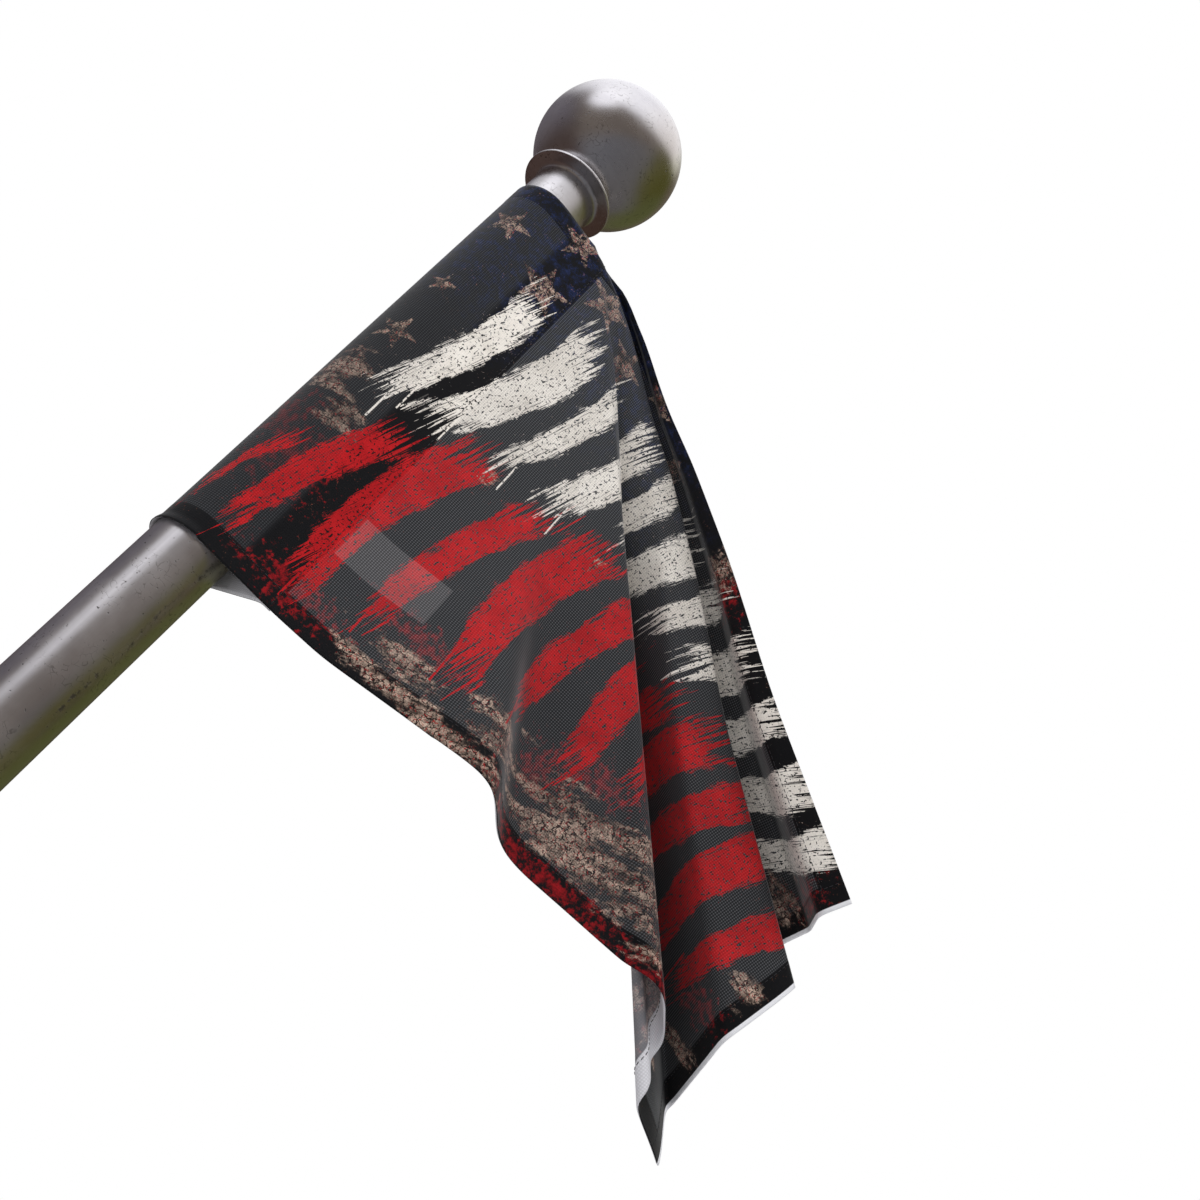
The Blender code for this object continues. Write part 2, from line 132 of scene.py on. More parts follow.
TILT = math.radians(POLE_TILT)
ALONG = np.array((math.cos(TILT), 0.0, math.sin(TILT)))
UNDER = np.array((math.sin(TILT), 0.0, -math.cos(TILT)))
FACE = np.array((0.0, -1.0, 0.0))
POLE_R = POLE_D / 2
WRAP_R = POLE_R + FIT + SOLID_T / 2
CORNER = ALONG * SLEEVE_TOP + UNDER * FOLD_AT + FACE * WRAP_R


def ease(x):
    x = np.clip(x, 0.0, 1.0)
    return x * x * (3.0 - 2.0 * x)


# ------------------------------------------------------------------ the drape
def pleat_fan():
    pts = [(-0.35, 0.0)] + [(row[1], row[2]) for row in PLEATS]
    (ax, ay), (bx, by) = pts[-1], pts[-2]
    pts.append((ax + 3 * (ax - bx), ay + 3 * (ay - by)))
    pts = np.array(pts)
    run = np.concatenate([[0.0], np.cumsum(np.hypot(*np.diff(pts, axis=0).T))])
    t = np.linspace(0.0, run[-1], CURVE_N)
    path = np.stack([np.interp(t, run, pts[:, k]) for k in (0, 1)], axis=1)
    half = max(1, int(math.radians(PLEAT_SOFT) / t[1]))
    kernel = np.ones(2 * half + 1) / (2 * half + 1)
    for _ in range(2):
        padded = np.concatenate([np.repeat(path[:1], half, 0), path, np.repeat(path[-1:], half, 0)])
        path = np.stack([np.convolve(padded[:, k], kernel, "valid") for k in (0, 1)], axis=1)

    def unit(plan):
        d = np.stack([plan[:, 0], plan[:, 1], -np.ones(len(plan))], axis=1)
        return d / np.linalg.norm(d, axis=1)[:, None]

    full = unit(path)
    steps = np.degrees(np.linalg.norm(np.diff(full, axis=0), axis=1))
    first = math.degrees(math.atan(path[0, 0])) + (90.0 - POLE_TILT)
    angle = first + np.concatenate([[0.0], np.cumsum(steps)])
    move = np.diff(path, axis=0)
    length = np.hypot(move[:, 0], move[:, 1])
    heading = np.unwrap(np.arctan2(move[:, 1], move[:, 0]))
    middle = 0.5 * (angle[1:] + angle[:-1])
    curl = math.radians(CORNER_TURN) * ease((middle - CORNER_TURN_FROM) / CORNER_TURN_OVER)
    stages = []
    full_at = np.interp(middle, [row[1] for row in FADES], [row[2] for row in FADES])
    for reach in np.linspace(0.0, FADE_REACH, LEVELS):
        g = ease(reach / full_at)
        h = g * heading + (1.0 - g) * curl
        plan = path[0] + np.concatenate(
            [[[0.0, 0.0]], np.cumsum(np.stack([np.cos(h) * length, np.sin(h) * length], axis=1), axis=0)]
        )
        stages.append(unit(plan))
    return angle, np.array(stages)


def soft_ripple():
    out = np.arange(0.0, RIPPLE[-1][1], 0.001)
    stand = np.interp(out, [row[1] for row in RIPPLE], [row[2] for row in RIPPLE])
    half = round(RIPPLE_SOFT / 0.001)
    kernel = np.ones(2 * half + 1) / (2 * half + 1)
    for _ in range(2):
        padded = np.concatenate([np.repeat(stand[:1], half), stand, np.repeat(stand[-1:], half)])
        stand = np.convolve(padded, kernel, "valid")
    return out, stand


FAN_ANGLE, FAN = pleat_fan()
RIPPLE_OUT, RIPPLE_STAND = soft_ripple()


def drape(out, down):
    out = np.asarray(out, float)
    down = np.asarray(down, float)
    x = out - FOLD_AT
    r = np.hypot(x, down)
    phi = np.degrees(np.arctan2(x, down))
    swing = np.radians(phi - 90.0) + TILT
    plain = np.stack([np.sin(swing), 0.0 * phi, -np.cos(swing)], axis=-1)
    g = np.minimum(r / FADE_REACH, 1.0) * (LEVELS - 1)
    low = np.clip(g.astype(int), 0, LEVELS - 2)
    part = (g - low)[..., None]
    at = np.interp(phi, FAN_ANGLE, np.arange(CURVE_N))
    i = np.clip(at.astype(int), 0, CURVE_N - 2)
    f = (at - i)[..., None]
    a = FAN[low, i] * (1 - f) + FAN[low, i + 1] * f
    b = FAN[low + 1, i] * (1 - f) + FAN[low + 1, i + 1] * f
    line = np.where((phi < FAN_ANGLE[0] + 1.0)[..., None], plain, a * (1 - part) + b * part)
    line = line / np.linalg.norm(line, axis=-1)[..., None]
    place = CORNER + r[..., None] * line
    edge_out = FOLD_AT + HOIST * np.tan(np.radians(np.clip(phi, -80.0, 60.0)))
    stand = np.interp(edge_out, RIPPLE_OUT, RIPPLE_STAND)
    stand = stand * (1.0 - ease((HOIST - down) / RIPPLE_UP)) * (1.0 - ease((phi - 40.0) / 4.0))
    sag = CORNER_SAG * ease(out / FOLD_AT) * (1.0 - ease(r / (5 * POLE_R)))
    return place + FACE * stand[..., None] - ALONG * sag[..., None]


# Soft creases laid on the flat cloth.  Each row is one ridge (rise > 0)
# or trough from a start to an end, as wide as given, fading at both ends.
CREASES = (
    # name                     out1    down1   out2    down2   width   rise
    ("across the panel",       0.060,  0.120,  0.150,  0.215,  0.022,  0.0006),
    ("under the wrap",         0.036,  0.060,  0.040,  0.250,  0.010, -0.0004),
    ("above the ripple",       0.110,  0.170,  0.168,  0.290,  0.020,  0.0009),
    ("beside the ripple",      0.150,  0.150,  0.215,  0.290,  0.018, -0.0009),
    ("panel low",              0.205,  0.215,  0.262,  0.292,  0.016,  0.0008),
    ("panel side",             0.130,  0.110,  0.240,  0.240,  0.014, -0.0005),
    ("corner pull",            0.040,  0.012,  0.075,  0.060,  0.008,  0.0005),
)


def crease_rise(out, down):
    total = np.zeros_like(out)
    for _, o1, d1, o2, d2, width, rise in CREASES:
        run = math.hypot(o2 - o1, d2 - d1)
        co, cd = (o2 - o1) / run, (d2 - d1) / run
        along = ((out - o1) * co + (down - d1) * cd) / run
        across = (-(out - o1) * cd + (down - d1) * co) / width
        ends = ease(along / 0.35 + 0.5) * ease((1.0 - along) / 0.35 + 0.5)
        total += rise * np.exp(-across**2 * 2.0) * ends
    return total


# ----------------------------------------------------------------- mesh tools
def new_piece(name, verts, faces, smooth=True):
    mesh = bpy.data.meshes.new(name)
    mesh.from_pydata(verts, [], faces)
    mesh.polygons.foreach_set("use_smooth", np.full(len(mesh.polygons), smooth))
    mesh.update()
    obj = bpy.data.objects.new(name, mesh)
    bpy.context.scene.collection.objects.link(obj)
    return obj


def set_uv(mesh, name, per_vertex):
    layer = mesh.uv_layers.new(name=name)
    index = np.empty(len(mesh.loops), int)
    mesh.loops.foreach_get("vertex_index", index)
    layer.data.foreach_set("uv", per_vertex[index].astype(np.float32).ravel())


# ------------------------------------------------------------------ the cloth
FLAP_STEPS, BACK_STEPS, WRAP_STEPS, FRONT_STEPS = 4, 12, 46, 26
PANEL_STEPS, PLEAT_STEPS = 104, 300
TOP_ROWS, BODY_ROWS, HEM_ROWS = 10, 58, 12
CORNER_R = 0.0350
TOP_RUN = 0.0120


def edge_hit(angle, inset):
    a = math.radians(angle)
    r = (HOIST - inset) / max(math.cos(a), 1e-9)
    if FOLD_AT + r * math.sin(a) > FLY_AT - inset:
        r = (FLY_AT - inset - FOLD_AT) / math.sin(a)
    return np.array((FOLD_AT + r * math.sin(a), r * math.cos(a)))


def run_down(top, arc, hem, edge):
    rows = [top + (arc - top) * k / TOP_ROWS for k in range(TOP_ROWS)]
    rows += [arc + (hem - arc) * k / BODY_ROWS for k in range(BODY_ROWS)]
    rows += [hem + (edge - hem) * k / HEM_ROWS for k in range(HEM_ROWS + 1)]
    return rows


def flat_places():
    """Flat (out, down) of every mesh column on the front, from the pole to the top edge's end."""
    columns = []
    mouth = HEM_W
    for k in range(FRONT_STEPS):
        out = SEAM_AT * k / FRONT_STEPS
        arc = math.sqrt(CORNER_R**2 - (min(SEAM_AT, max(0.0, out)) - FOLD_AT) ** 2) if abs(out - FOLD_AT) < CORNER_R else 0.02
        arc = max(arc, 0.018)
        columns.append(run_down(*(np.array((out, d)) for d in (0.0, arc, HOIST - mouth, HOIST))))
    seam_arc = math.sqrt(CORNER_R**2 - (SEAM_AT - FOLD_AT) ** 2)
    side = [np.array((SEAM_AT, d)) for d in (0.0, seam_arc, HOIST - mouth, HOIST)]
    a = math.radians(PANEL_ANGLE)
    share = PANEL_STEPS / (PANEL_STEPS + PLEAT_STEPS)
    fold = [
        np.array((SEAM_AT + TOP_RUN * share, 0.0)),
        np.array((FOLD_AT + CORNER_R * math.sin(a), CORNER_R * math.cos(a))),
        edge_hit(PANEL_ANGLE, mouth),
        edge_hit(PANEL_ANGLE, 0.0),
    ]
    for k in range(PANEL_STEPS):
        w = k / PANEL_STEPS
        places = [(1 - w) * s + w * e for s, e in zip(side, fold)]
        turn = math.atan2(seam_arc, SEAM_AT - FOLD_AT)
        at = turn + (math.pi / 2 - a - turn) * w
        places[1] = np.array((FOLD_AT + CORNER_R * math.cos(at), CORNER_R * math.sin(at)))
        columns.append(run_down(*places))
    for k in range(PLEAT_STEPS + 1):
        w = k / PLEAT_STEPS
        angle = PANEL_ANGLE + (90.0 - PANEL_ANGLE) * w
        a = math.radians(angle)
        top = np.array((SEAM_AT + TOP_RUN * (share + (1 - share) * w), 0.0))
        arc = np.array((FOLD_AT + CORNER_R * math.sin(a), CORNER_R * math.cos(a)))
        if k == PLEAT_STEPS:
            hem, edge = np.array((FLY_AT - mouth, 0.0)), np.array((FLY_AT, 0.0))
            arc = np.array((FOLD_AT + CORNER_R, 0.0))
        else:
            hem, edge = edge_hit(angle, mouth), edge_hit(angle, 0.0)
        columns.append(run_down(top, arc, hem, edge))
    return np.array(columns)


def cloth_sheet():
    front = flat_places()
    n_front, n_row = front.shape[:2]
    mid_front = drape(front[..., 0], front[..., 1])
    down0 = front[0, :, 1]
    # the pole pocket: sewn flap, back layer, wrap; per row in the plane square to the pole
    seam = drape(np.full(n_row, SEAM_AT), down0)
    inner = drape(np.full(n_row, SEAM_AT - FLAP), down0)
    behind = 0.0009
    pocket, pocket_out = [], []
    for j in range(n_row):
        ends = []
        for p in (seam[j], inner[j]):
            ends.append(np.array((p @ UNDER, p @ FACE - behind, p @ ALONG)))
        reach = math.hypot(ends[1][0], ends[1][1])
        leave = math.atan2(ends[1][0], ends[1][1]) + math.acos(WRAP_R / reach)
        touch = np.array((WRAP_R * math.sin(leave), WRAP_R * math.cos(leave), SLEEVE_TOP - down0[j]))
        back_run = np.linalg.norm(touch - ends[1])
        wrap_run = WRAP_R * (2 * math.pi - leave)
        line, outs = [], []
        for k in range(FLAP_STEPS):
            w = k / FLAP_STEPS
            line.append(ends[0] + (ends[1] - ends[0]) * w)
            outs.append(-wrap_run - back_run - FLAP * (1 - w))
        for k in range(BACK_STEPS):
            w = k / BACK_STEPS
            line.append(ends[1] + (touch - ends[1]) * w)
            outs.append(-wrap_run - back_run * (1 - w))
        for k in range(WRAP_STEPS):
            w = k / WRAP_STEPS
            ang = leave + (2 * math.pi - leave) * w
            line.append(np.array((WRAP_R * math.sin(ang), WRAP_R * math.cos(ang), SLEEVE_TOP - down0[j])))
            outs.append(-wrap_run * (1 - w))
        pocket.append([UNDER * a + FACE * b + ALONG * s for a, b, s in line])
        pocket_out.append(outs)
    pocket = np.array(pocket).transpose(1, 0, 2)
    pocket_out = np.array(pocket_out).T
    n_pocket = pocket.shape[0]
    # the sleeve's lower rim stands a little off the tube
    lip = 0.0013 * ease((down0 - HOIST + 0.006) / 0.006)
    radial = pocket - (pocket @ ALONG)[..., None] * ALONG
    radial /= np.linalg.norm(radial, axis=-1)[..., None]
    around = ease((np.arange(n_pocket) - FLAP_STEPS - BACK_STEPS) / 8.0)
    pocket = pocket + radial * (lip[None, :] * around[:, None])[..., None]
    # soften the back layer's two corners
    for _ in range(2):
        pocket[1:-1] = pocket[1:-1] * 0.6 + 0.2 * (pocket[:-2] + pocket[2:])
    flat = np.concatenate([np.stack([pocket_out, np.tile(down0, (n_pocket, 1))], axis=-1), front])
    mid = np.concatenate([pocket, mid_front])
    n_col = len(mid)

    du = np.gradient(mid, axis=0)
    dv = np.gradient(mid, axis=1)
    normal = np.cross(dv, du)
    normal /= np.linalg.norm(normal, axis=-1)[..., None]
    out, down = flat[..., 0], flat[..., 1]
    rise = crease_rise(out, down) * (out > 0.0)
    mid = mid + normal * rise[..., None]

    # hems: doubled cloth along every edge, a little proud at the fold of the edge
    rim = np.minimum(np.minimum(down, HOIST - down), FLY_AT - out)
    hem = ease((HEM_W + 0.0004 - rim) / 0.0009)
    thick = CLOTH_T + (HEM_T - CLOTH_T) * hem
    rounded = np.sqrt(np.clip(1.0 - (1.0 - np.clip(rim / 0.0009, 0, 1)) ** 2, 0.12, 1.0))
    thick = thick * rounded
    lift = 0.00012 * hem
    face = mid + normal * (CLOTH_T / 2 + lift)[..., None]
    rear = face - normal * thick[..., None]

    count = n_col * n_row
    verts = np.concatenate([face.reshape(-1, 3), rear.reshape(-1, 3)])
    grid = np.arange(count).reshape(n_col, n_row)
    a, b, c, d = grid[:-1, :-1], grid[:-1, 1:], grid[1:, 1:], grid[1:, :-1]
    front_faces = np.stack([a, b, c, d], axis=-1).reshape(-1, 4)
    rear_faces = np.stack([a, d, c, b], axis=-1).reshape(-1, 4) + count
    rims = []
    for ids in (grid[:, 0][::-1], grid[0, :], grid[:, -1], grid[-1, :][::-1]):
        rims.append(np.stack([ids[:-1], ids[:-1] + count, ids[1:] + count, ids[1:]], axis=-1))
    rim_faces = np.concatenate(rims)
    faces = np.concatenate([front_faces, rear_faces, rim_faces])
    obj = new_piece("flag_cloth", verts.tolist(), faces.tolist())
    mesh = obj.data
    slots = np.zeros(len(faces), int)
    slots[len(front_faces):len(front_faces) + len(rear_faces)] = 1
    slots[len(front_faces) + len(rear_faces):] = 2
    mesh.polygons.foreach_set("material_index", slots.astype(np.int32))
    uv = np.concatenate([flat.reshape(-1, 2)] * 2) + np.array((0.2, 0.1))
    set_uv(mesh, "cloth", uv)
    bm = bmesh.new()
    bm.from_mesh(mesh)
    bmesh.ops.recalc_face_normals(bm, faces=bm.faces)
    bm.to_mesh(mesh)
    bm.free()
    return obj


def surface(out, down, lift):
    """Points on the front (lift > 0) or behind the back of the draped cloth, with its tangent frame."""
    step = 0.0006
    p = drape(out, down)
    du = drape(out + step, down) - drape(out - step, down)
    dv = drape(out, down + step) - drape(out, down - step)
    n = np.cross(dv, du)
    n /= np.linalg.norm(n, axis=-1)[..., None]
    du /= np.linalg.norm(du, axis=-1)[..., None]
    dv /= np.linalg.norm(dv, axis=-1)[..., None]
    p = p + n * (crease_rise(np.asarray(out, float), np.asarray(down, float)) + lift)[..., None]
    return p, du, dv, n


def stitches():
    """Rows of lock stitches along the hems and the sleeve seam, as one joined mesh."""
    pitch, length, width, height = 0.0030, 0.0021, 0.00042, 0.00030
    rows = (
        # name            out1              down1            out2              down2
        ("lower hem",     0.002,            HOIST - 0.0115,  FLY_AT - 0.0115,  HOIST - 0.0115),
        ("fly hem",       FLY_AT - 0.0115,  0.002,           FLY_AT - 0.0115,  HOIST - 0.002),
        ("top hem",       0.002,            0.0115,          FLY_AT - 0.0115,  0.0115),
        ("sleeve seam",   SEAM_AT - 0.0020, 0.002,           SEAM_AT - 0.0020, HOIST - 0.002),
    )
    ring = [(-0.5, 0.0), (-0.3, 0.8), (0.0, 1.0), (0.3, 0.8), (0.5, 0.0)]
    verts, faces = [], []
    for _, o1, d1, o2, d2 in rows:
        run = math.hypot(o2 - o1, d2 - d1)
        count = int(run / pitch)
        for k in range(count):
            at = (k + 0.5) / count
            o, d = np.array(o1 + (o2 - o1) * at), np.array(d1 + (d2 - d1) * at)
            for side in (1, -1):
                if side < 0 and float(d) < 0.013 and float(o) < SEAM_AT:
                    continue
                lift = CLOTH_T / 2 + 0.00012 if side > 0 else -(HEM_T - CLOTH_T / 2)
                p, du, dv, n = surface(o, d, lift)
                n = n * side
                t = du * (o2 - o1) / run + dv * (d2 - d1) / run
                t /= np.linalg.norm(t)
                s = np.cross(n, t)
                base = len(verts)
                for x, h in ((-0.5, 0.15), (-0.32, 0.9), (0.32, 0.9), (0.5, 0.15)):
                    for y, z in ring:
                        q = p + t * x * length + s * y * width * (0.6 + 0.4 * h) + n * (height * z * h - 0.00005)
                        verts.append(tuple(q))
                for i in range(3):
                    for j in range(4):
                        v = base + i * 5 + j
                        faces.append((v, v + 5, v + 6, v + 1))
                    faces.append((base + i * 5 + 4, base + i * 5 + 9, base + i * 5 + 5, base + i * 5))
                faces.append(tuple(base + j for j in range(5)))
                faces.append(tuple(base + 15 + j for j in range(4, -1, -1)))
    obj = new_piece("flag_stitches", verts, faces)
    bm = bmesh.new()
    bm.from_mesh(obj.data)
    bmesh.ops.recalc_face_normals(bm, faces=bm.faces)
    bm.to_mesh(obj.data)
    bm.free()
    return obj


def label_tape():
    """The folded care tape behind the panel, sewn in at the seam."""
    n_l, n_w, thick = 40, 22, 0.00045
    lengths = LABEL_OUT - 0.0015 + (LABEL_L + 0.0015) * np.linspace(0, 1, n_l + 1)
    widths = LABEL_DROP + LABEL_W * np.linspace(0, 1, n_w + 1)
    o, d = np.meshgrid(lengths, widths, indexing="ij")
    away = 0.0016 + 0.0010 * np.linspace(0, 1, n_l + 1)[:, None] ** 2 * (1 + 0.3 * np.sin(6 * (d - LABEL_DROP) / LABEL_W))
    p, du, dv, n = surface(o, d, 0.0)
    top = p - n * away[..., None]
    low = top - n * thick
    count = top.shape[0] * top.shape[1]
    grid = np.arange(count).reshape(n_l + 1, n_w + 1)
    a, b, c, e = grid[:-1, :-1], grid[:-1, 1:], grid[1:, 1:], grid[1:, :-1]
    faces = [np.stack([a, b, c, e], -1).reshape(-1, 4), np.stack([a, e, c, b], -1).reshape(-1, 4) + count]
    for ids in (grid[:, 0][::-1], grid[0, :], grid[:, -1], grid[-1, :][::-1]):
        faces.append(np.stack([ids[:-1], ids[:-1] + count, ids[1:] + count, ids[1:]], -1))
    verts = np.concatenate([top.reshape(-1, 3), low.reshape(-1, 3)])
    obj = new_piece("care_tape", verts.tolist(), np.concatenate(faces).tolist())
    uv = np.stack([(o - LABEL_OUT) / LABEL_L, (d - LABEL_DROP) / LABEL_W], -1).reshape(-1, 2)
    set_uv(obj.data, "tape", np.concatenate([uv, uv]))
    bm = bmesh.new()
    bm.from_mesh(obj.data)
    bmesh.ops.recalc_face_normals(bm, faces=bm.faces)
    bm.to_mesh(obj.data)
    bm.free()
    return obj


# --------------------------------------------------------------- turned metal
def turned(name, profile, steps):
    """A smooth turned piece on the pole's axis, from its half section (radius, along), top first."""
    rings, verts, faces = [], [], []
    for radius, along in profile:
        if radius < 1e-7:
            rings.append([len(verts)] * steps)
            verts.append(tuple(ALONG * along))
            continue
        first = len(verts)
        for k in range(steps):
            a = 2 * math.pi * k / steps
            verts.append(tuple(ALONG * along + UNDER * radius * math.sin(a) + FACE * radius * math.cos(a)))
        rings.append(list(range(first, first + steps)))
    for upper, lower in zip(rings[:-1], rings[1:]):
        for k in range(steps):
            ids = (upper[k], lower[k], lower[(k + 1) % steps], upper[(k + 1) % steps])
            ids = [v for n, v in enumerate(ids) if v != ids[n - 1]]
            if len(ids) > 2:
                faces.append(tuple(ids))
    obj = new_piece(name, verts, faces)
    bm = bmesh.new()
    bm.from_mesh(obj.data)
    bmesh.ops.recalc_face_normals(bm, faces=bm.faces)
    bm.to_mesh(obj.data)
    bm.free()
    obj.data.set_sharp_from_angle(angle=math.radians(40.0))
    return obj


def arc(centre, radius, start, stop, count):
    """Points of a half section on a circle; angles in degrees from outwards, towards the top."""
    points = []
    for k in range(count + 1):
        a = math.radians(start + (stop - start) * k / count)
        points.append((centre[0] + radius * math.cos(a), centre[1] + radius * math.sin(a)))
    return points


def pole_section():
    top = SLEEVE_TOP - POLE_JOINT
    edge = 0.0006
    points = [(0.0, top), (POLE_R - edge, top)]
    points += arc((POLE_R - edge, top - edge), edge, 90, 0, 4)[1:]
    points += [(POLE_R, top + (edge - top) * k / 30) for k in range(1, 30)]
    points += arc((POLE_R - edge, edge), edge, 0, -90, 5)
    return points + [(POLE_R * 0.6, 0.0), (POLE_R * 0.3, 0.0), (0.0, 0.0)]


def finial_section():
    ball_r, collar_r, neck_r = BALL_D / 2, COLLAR_D / 2, NECK_D / 2
    foot = SLEEVE_TOP - POLE_JOINT + FIT
    low = math.degrees(math.asin(neck_r / ball_r))
    points = [(0.0, BALL_AT + ball_r)] + arc((0.0, BALL_AT), ball_r, 90, low - 90, 72)[1:]
    top = COLLAR_AT + COLLAR_T
    neck_end = points[-1][1]
    points += [(neck_r, neck_end + (top + 0.0004 - neck_end) * k / 4) for k in range(1, 5)]
    rim = COLLAR_T * 0.22
    points += [(neck_r + 0.0005, top), (collar_r - 0.004, top)]
    points += arc((collar_r - rim, top - rim), rim, 90, 0, 5)
    points += arc((collar_r - rim, COLLAR_AT + rim), rim, 0, -90, 5)
    points += arc((POLE_R + FLARE, COLLAR_AT - FLARE), FLARE, 90, 180, 14)
    joint = COLLAR_AT - FLARE
    points += [(POLE_R, joint + (foot + 0.0004 - joint) * k / 6) for k in range(1, 7)]
    return points + [(POLE_R - 0.0004, foot), (POLE_R * 0.5, foot), (0.0, foot)]


# ------------------------------------------------------------------ materials
def srgb(r, g, b):
    return tuple((c / 255 / 12.92 if c / 255 <= 0.04045 else ((c / 255 + 0.055) / 1.055) ** 2.4) for c in (r, g, b)) + (1.0,)


class Shade:
    """Short names for the shader nodes that the materials below are made of."""

    def __init__(self, name):
        self.mat = bpy.data.materials.new(name)
        self.mat.use_nodes = True
        self.tree = self.mat.node_tree
        self.bsdf = self.tree.nodes["Principled BSDF"]

    def node(self, kind, **settings):
        n = self.tree.nodes.new(kind)
        for k, v in settings.items():
            setattr(n, k, v)
        return n

    def put(self, socket, value):
        if isinstance(value, bpy.types.NodeSocket):
            self.tree.links.new(value, socket)
        elif value is not None:
            socket.default_value = value

    def math(self, op, a, b=None, c=None, clamp=False):
        n = self.node("ShaderNodeMath", operation=op, use_clamp=clamp)
        for s, v in zip(n.inputs, (a, b, c)):
            self.put(s, v)
        return n.outputs[0]

    def add(self, a, b):
        return self.math("ADD", a, b)

    def mul(self, a, b):
        return self.math("MULTIPLY", a, b)

    def ramp(self, value, low, high, to_low=0.0, to_high=1.0, smooth=True):
        n = self.node("ShaderNodeMapRange", interpolation_type="SMOOTHSTEP" if smooth else "LINEAR")
        self.put(n.inputs["Value"], value)
        self.put(n.inputs["From Min"], low)
        self.put(n.inputs["From Max"], high)
        n.inputs["To Min"].default_value = to_low
        n.inputs["To Max"].default_value = to_high
        return n.outputs["Result"]

    def mix(self, factor, a, b, blend="MIX"):
        n = self.node("ShaderNodeMix", data_type="RGBA", blend_type=blend)
        self.put(n.inputs[0], factor)
        self.put(n.inputs[6], a)
        self.put(n.inputs[7], b)
        return n.outputs[2]

    def noise(self, vector, scale, detail=2.0, rough=0.5, distortion=0.0):
        n = self.node("ShaderNodeTexNoise")
        self.put(n.inputs["Vector"], vector)
        n.inputs["Scale"].default_value = scale
        n.inputs["Detail"].default_value = detail
        n.inputs["Roughness"].default_value = rough
        n.inputs["Distortion"].default_value = distortion
        return n.outputs["Fac"]

    def voronoi(self, vector, scale, feature="F1", randomness=1.0):
        n = self.node("ShaderNodeTexVoronoi", feature=feature)
        self.put(n.inputs["Vector"], vector)
        n.inputs["Scale"].default_value = scale
        n.inputs["Randomness"].default_value = randomness
        return n.outputs["Distance"]

    def mapping(self, vector, location=(0, 0, 0), rotation=(0, 0, 0), scale=(1, 1, 1), kind="POINT"):
        n = self.node("ShaderNodeMapping", vector_type=kind)
        self.put(n.inputs["Vector"], vector)
        n.inputs["Location"].default_value = location
        n.inputs["Rotation"].default_value = rotation
        n.inputs["Scale"].default_value = scale
        return n.outputs["Vector"]

    def split(self, vector):
        n = self.node("ShaderNodeSeparateXYZ")
        self.put(n.inputs[0], vector)
        return n.outputs[0], n.outputs[1], n.outputs[2]

    def join(self, x, y, z=0.0):
        n = self.node("ShaderNodeCombineXYZ")
        for s, v in zip(n.inputs, (x, y, z)):
            self.put(s, v)
        return n.outputs[0]

    def bump(self, height, strength, distance, normal=None):
        n = self.node("ShaderNodeBump")
        self.put(n.inputs["Height"], height)
        n.inputs["Strength"].default_value = strength
        n.inputs["Distance"].default_value = distance
        if normal is not None:
            self.put(n.inputs["Normal"], normal)
        return n.outputs["Normal"]


# The print.  All places are in millimetres on the flat cloth: out from the line
# where the sleeve leaves the pole, down from the top edge.  Each brush mark is a
# plain slash; lean is the slash's direction, in degrees from straight out.
BRISTLE_LEAN = 106.0
WHITE_MARKS = (
    # name              out    down   length  width  bow   lean  taper
    ("first slash",      24,   118,   106,    21,   -5,    103,  0.30),
    ("second slash",     58,   112,   114,    27,   -8,    107,  0.25),
    ("third slash",      94,   104,    92,    18,   -5,    104,  0.35),
    ("fourth slash",    130,   102,   104,    25,   -7,    107,  0.30),
    ("fifth slash",     166,    87,    86,    20,   -5,    103,  0.25),
    ("sixth slash",     201,    84,    94,    27,   -8,    107,  0.35),
    ("seventh slash",   240,    67,    88,    21,   -5,    104,  0.30),
    ("eighth slash",    279,    57,    96,    28,   -7,    107,  0.30),
    ("ninth slash",     318,    43,    88,    22,   -5,    103,  0.25),
    ("tenth slash",     354,    38,    88,    26,   -7,    107,  0.35),
    ("last slash",      389,    34,    80,    22,   -5,    104,  0.30),
)
RED_MARKS = (
    # name              out    down   length  width  bow   lean  taper
    ("hoist slash",      14,   236,    98,    21,    5,    106,  0.45),
    ("first slash",      51,   222,   118,    28,    8,    100,  0.30),
    ("second slash",     93,   216,   114,    22,    6,    105,  0.35),
    ("third slash",     134,   208,   116,    29,    9,     99,  0.30),
    ("fourth slash",    173,   200,   104,    22,    6,    104,  0.35),
    ("fifth slash",     210,   192,   112,    28,    9,     98,  0.35),
    ("sixth slash",     248,   180,   106,    23,    6,    105,  0.35),
    ("seventh slash",   285,   169,   110,    29,    8,    100,  0.30),
    ("eighth slash",    322,   163,   106,    24,    6,    106,  0.40),
    ("ninth slash",     357,   160,   114,    28,    9,     99,  0.30),
    ("last slash",      391,   169,    94,    21,    5,    105,  0.40),
    ("thin slash",      -14,   256,    50,     9,    2,    108,  0.50),
)
DRIPS = (
    # name            out    down   length  width
    ("first",         12,    160,    32,    1.3),
    ("beside",        20,    158,    18,    1.0),
    ("second",        46,    156,    16,    1.0),
    ("third",         85,    150,    18,    1.1),
    ("fourth",       119,    146,    22,    1.0),
    ("fifth",        194,    118,    14,    0.9),
    ("sixth",        268,     94,    12,    0.9),
)
RED_DRIPS = (
    # name            out    down   length  width
    ("first",         44,    268,    28,    1.3),
    ("second",        80,    262,    24,    1.1),
    ("third",        122,    254,    28,    1.2),
    ("fourth",       162,    244,    30,    1.3),
    ("fifth",        236,    212,    16,    1.0),
    ("sixth",        374,    200,    28,    1.2),
)
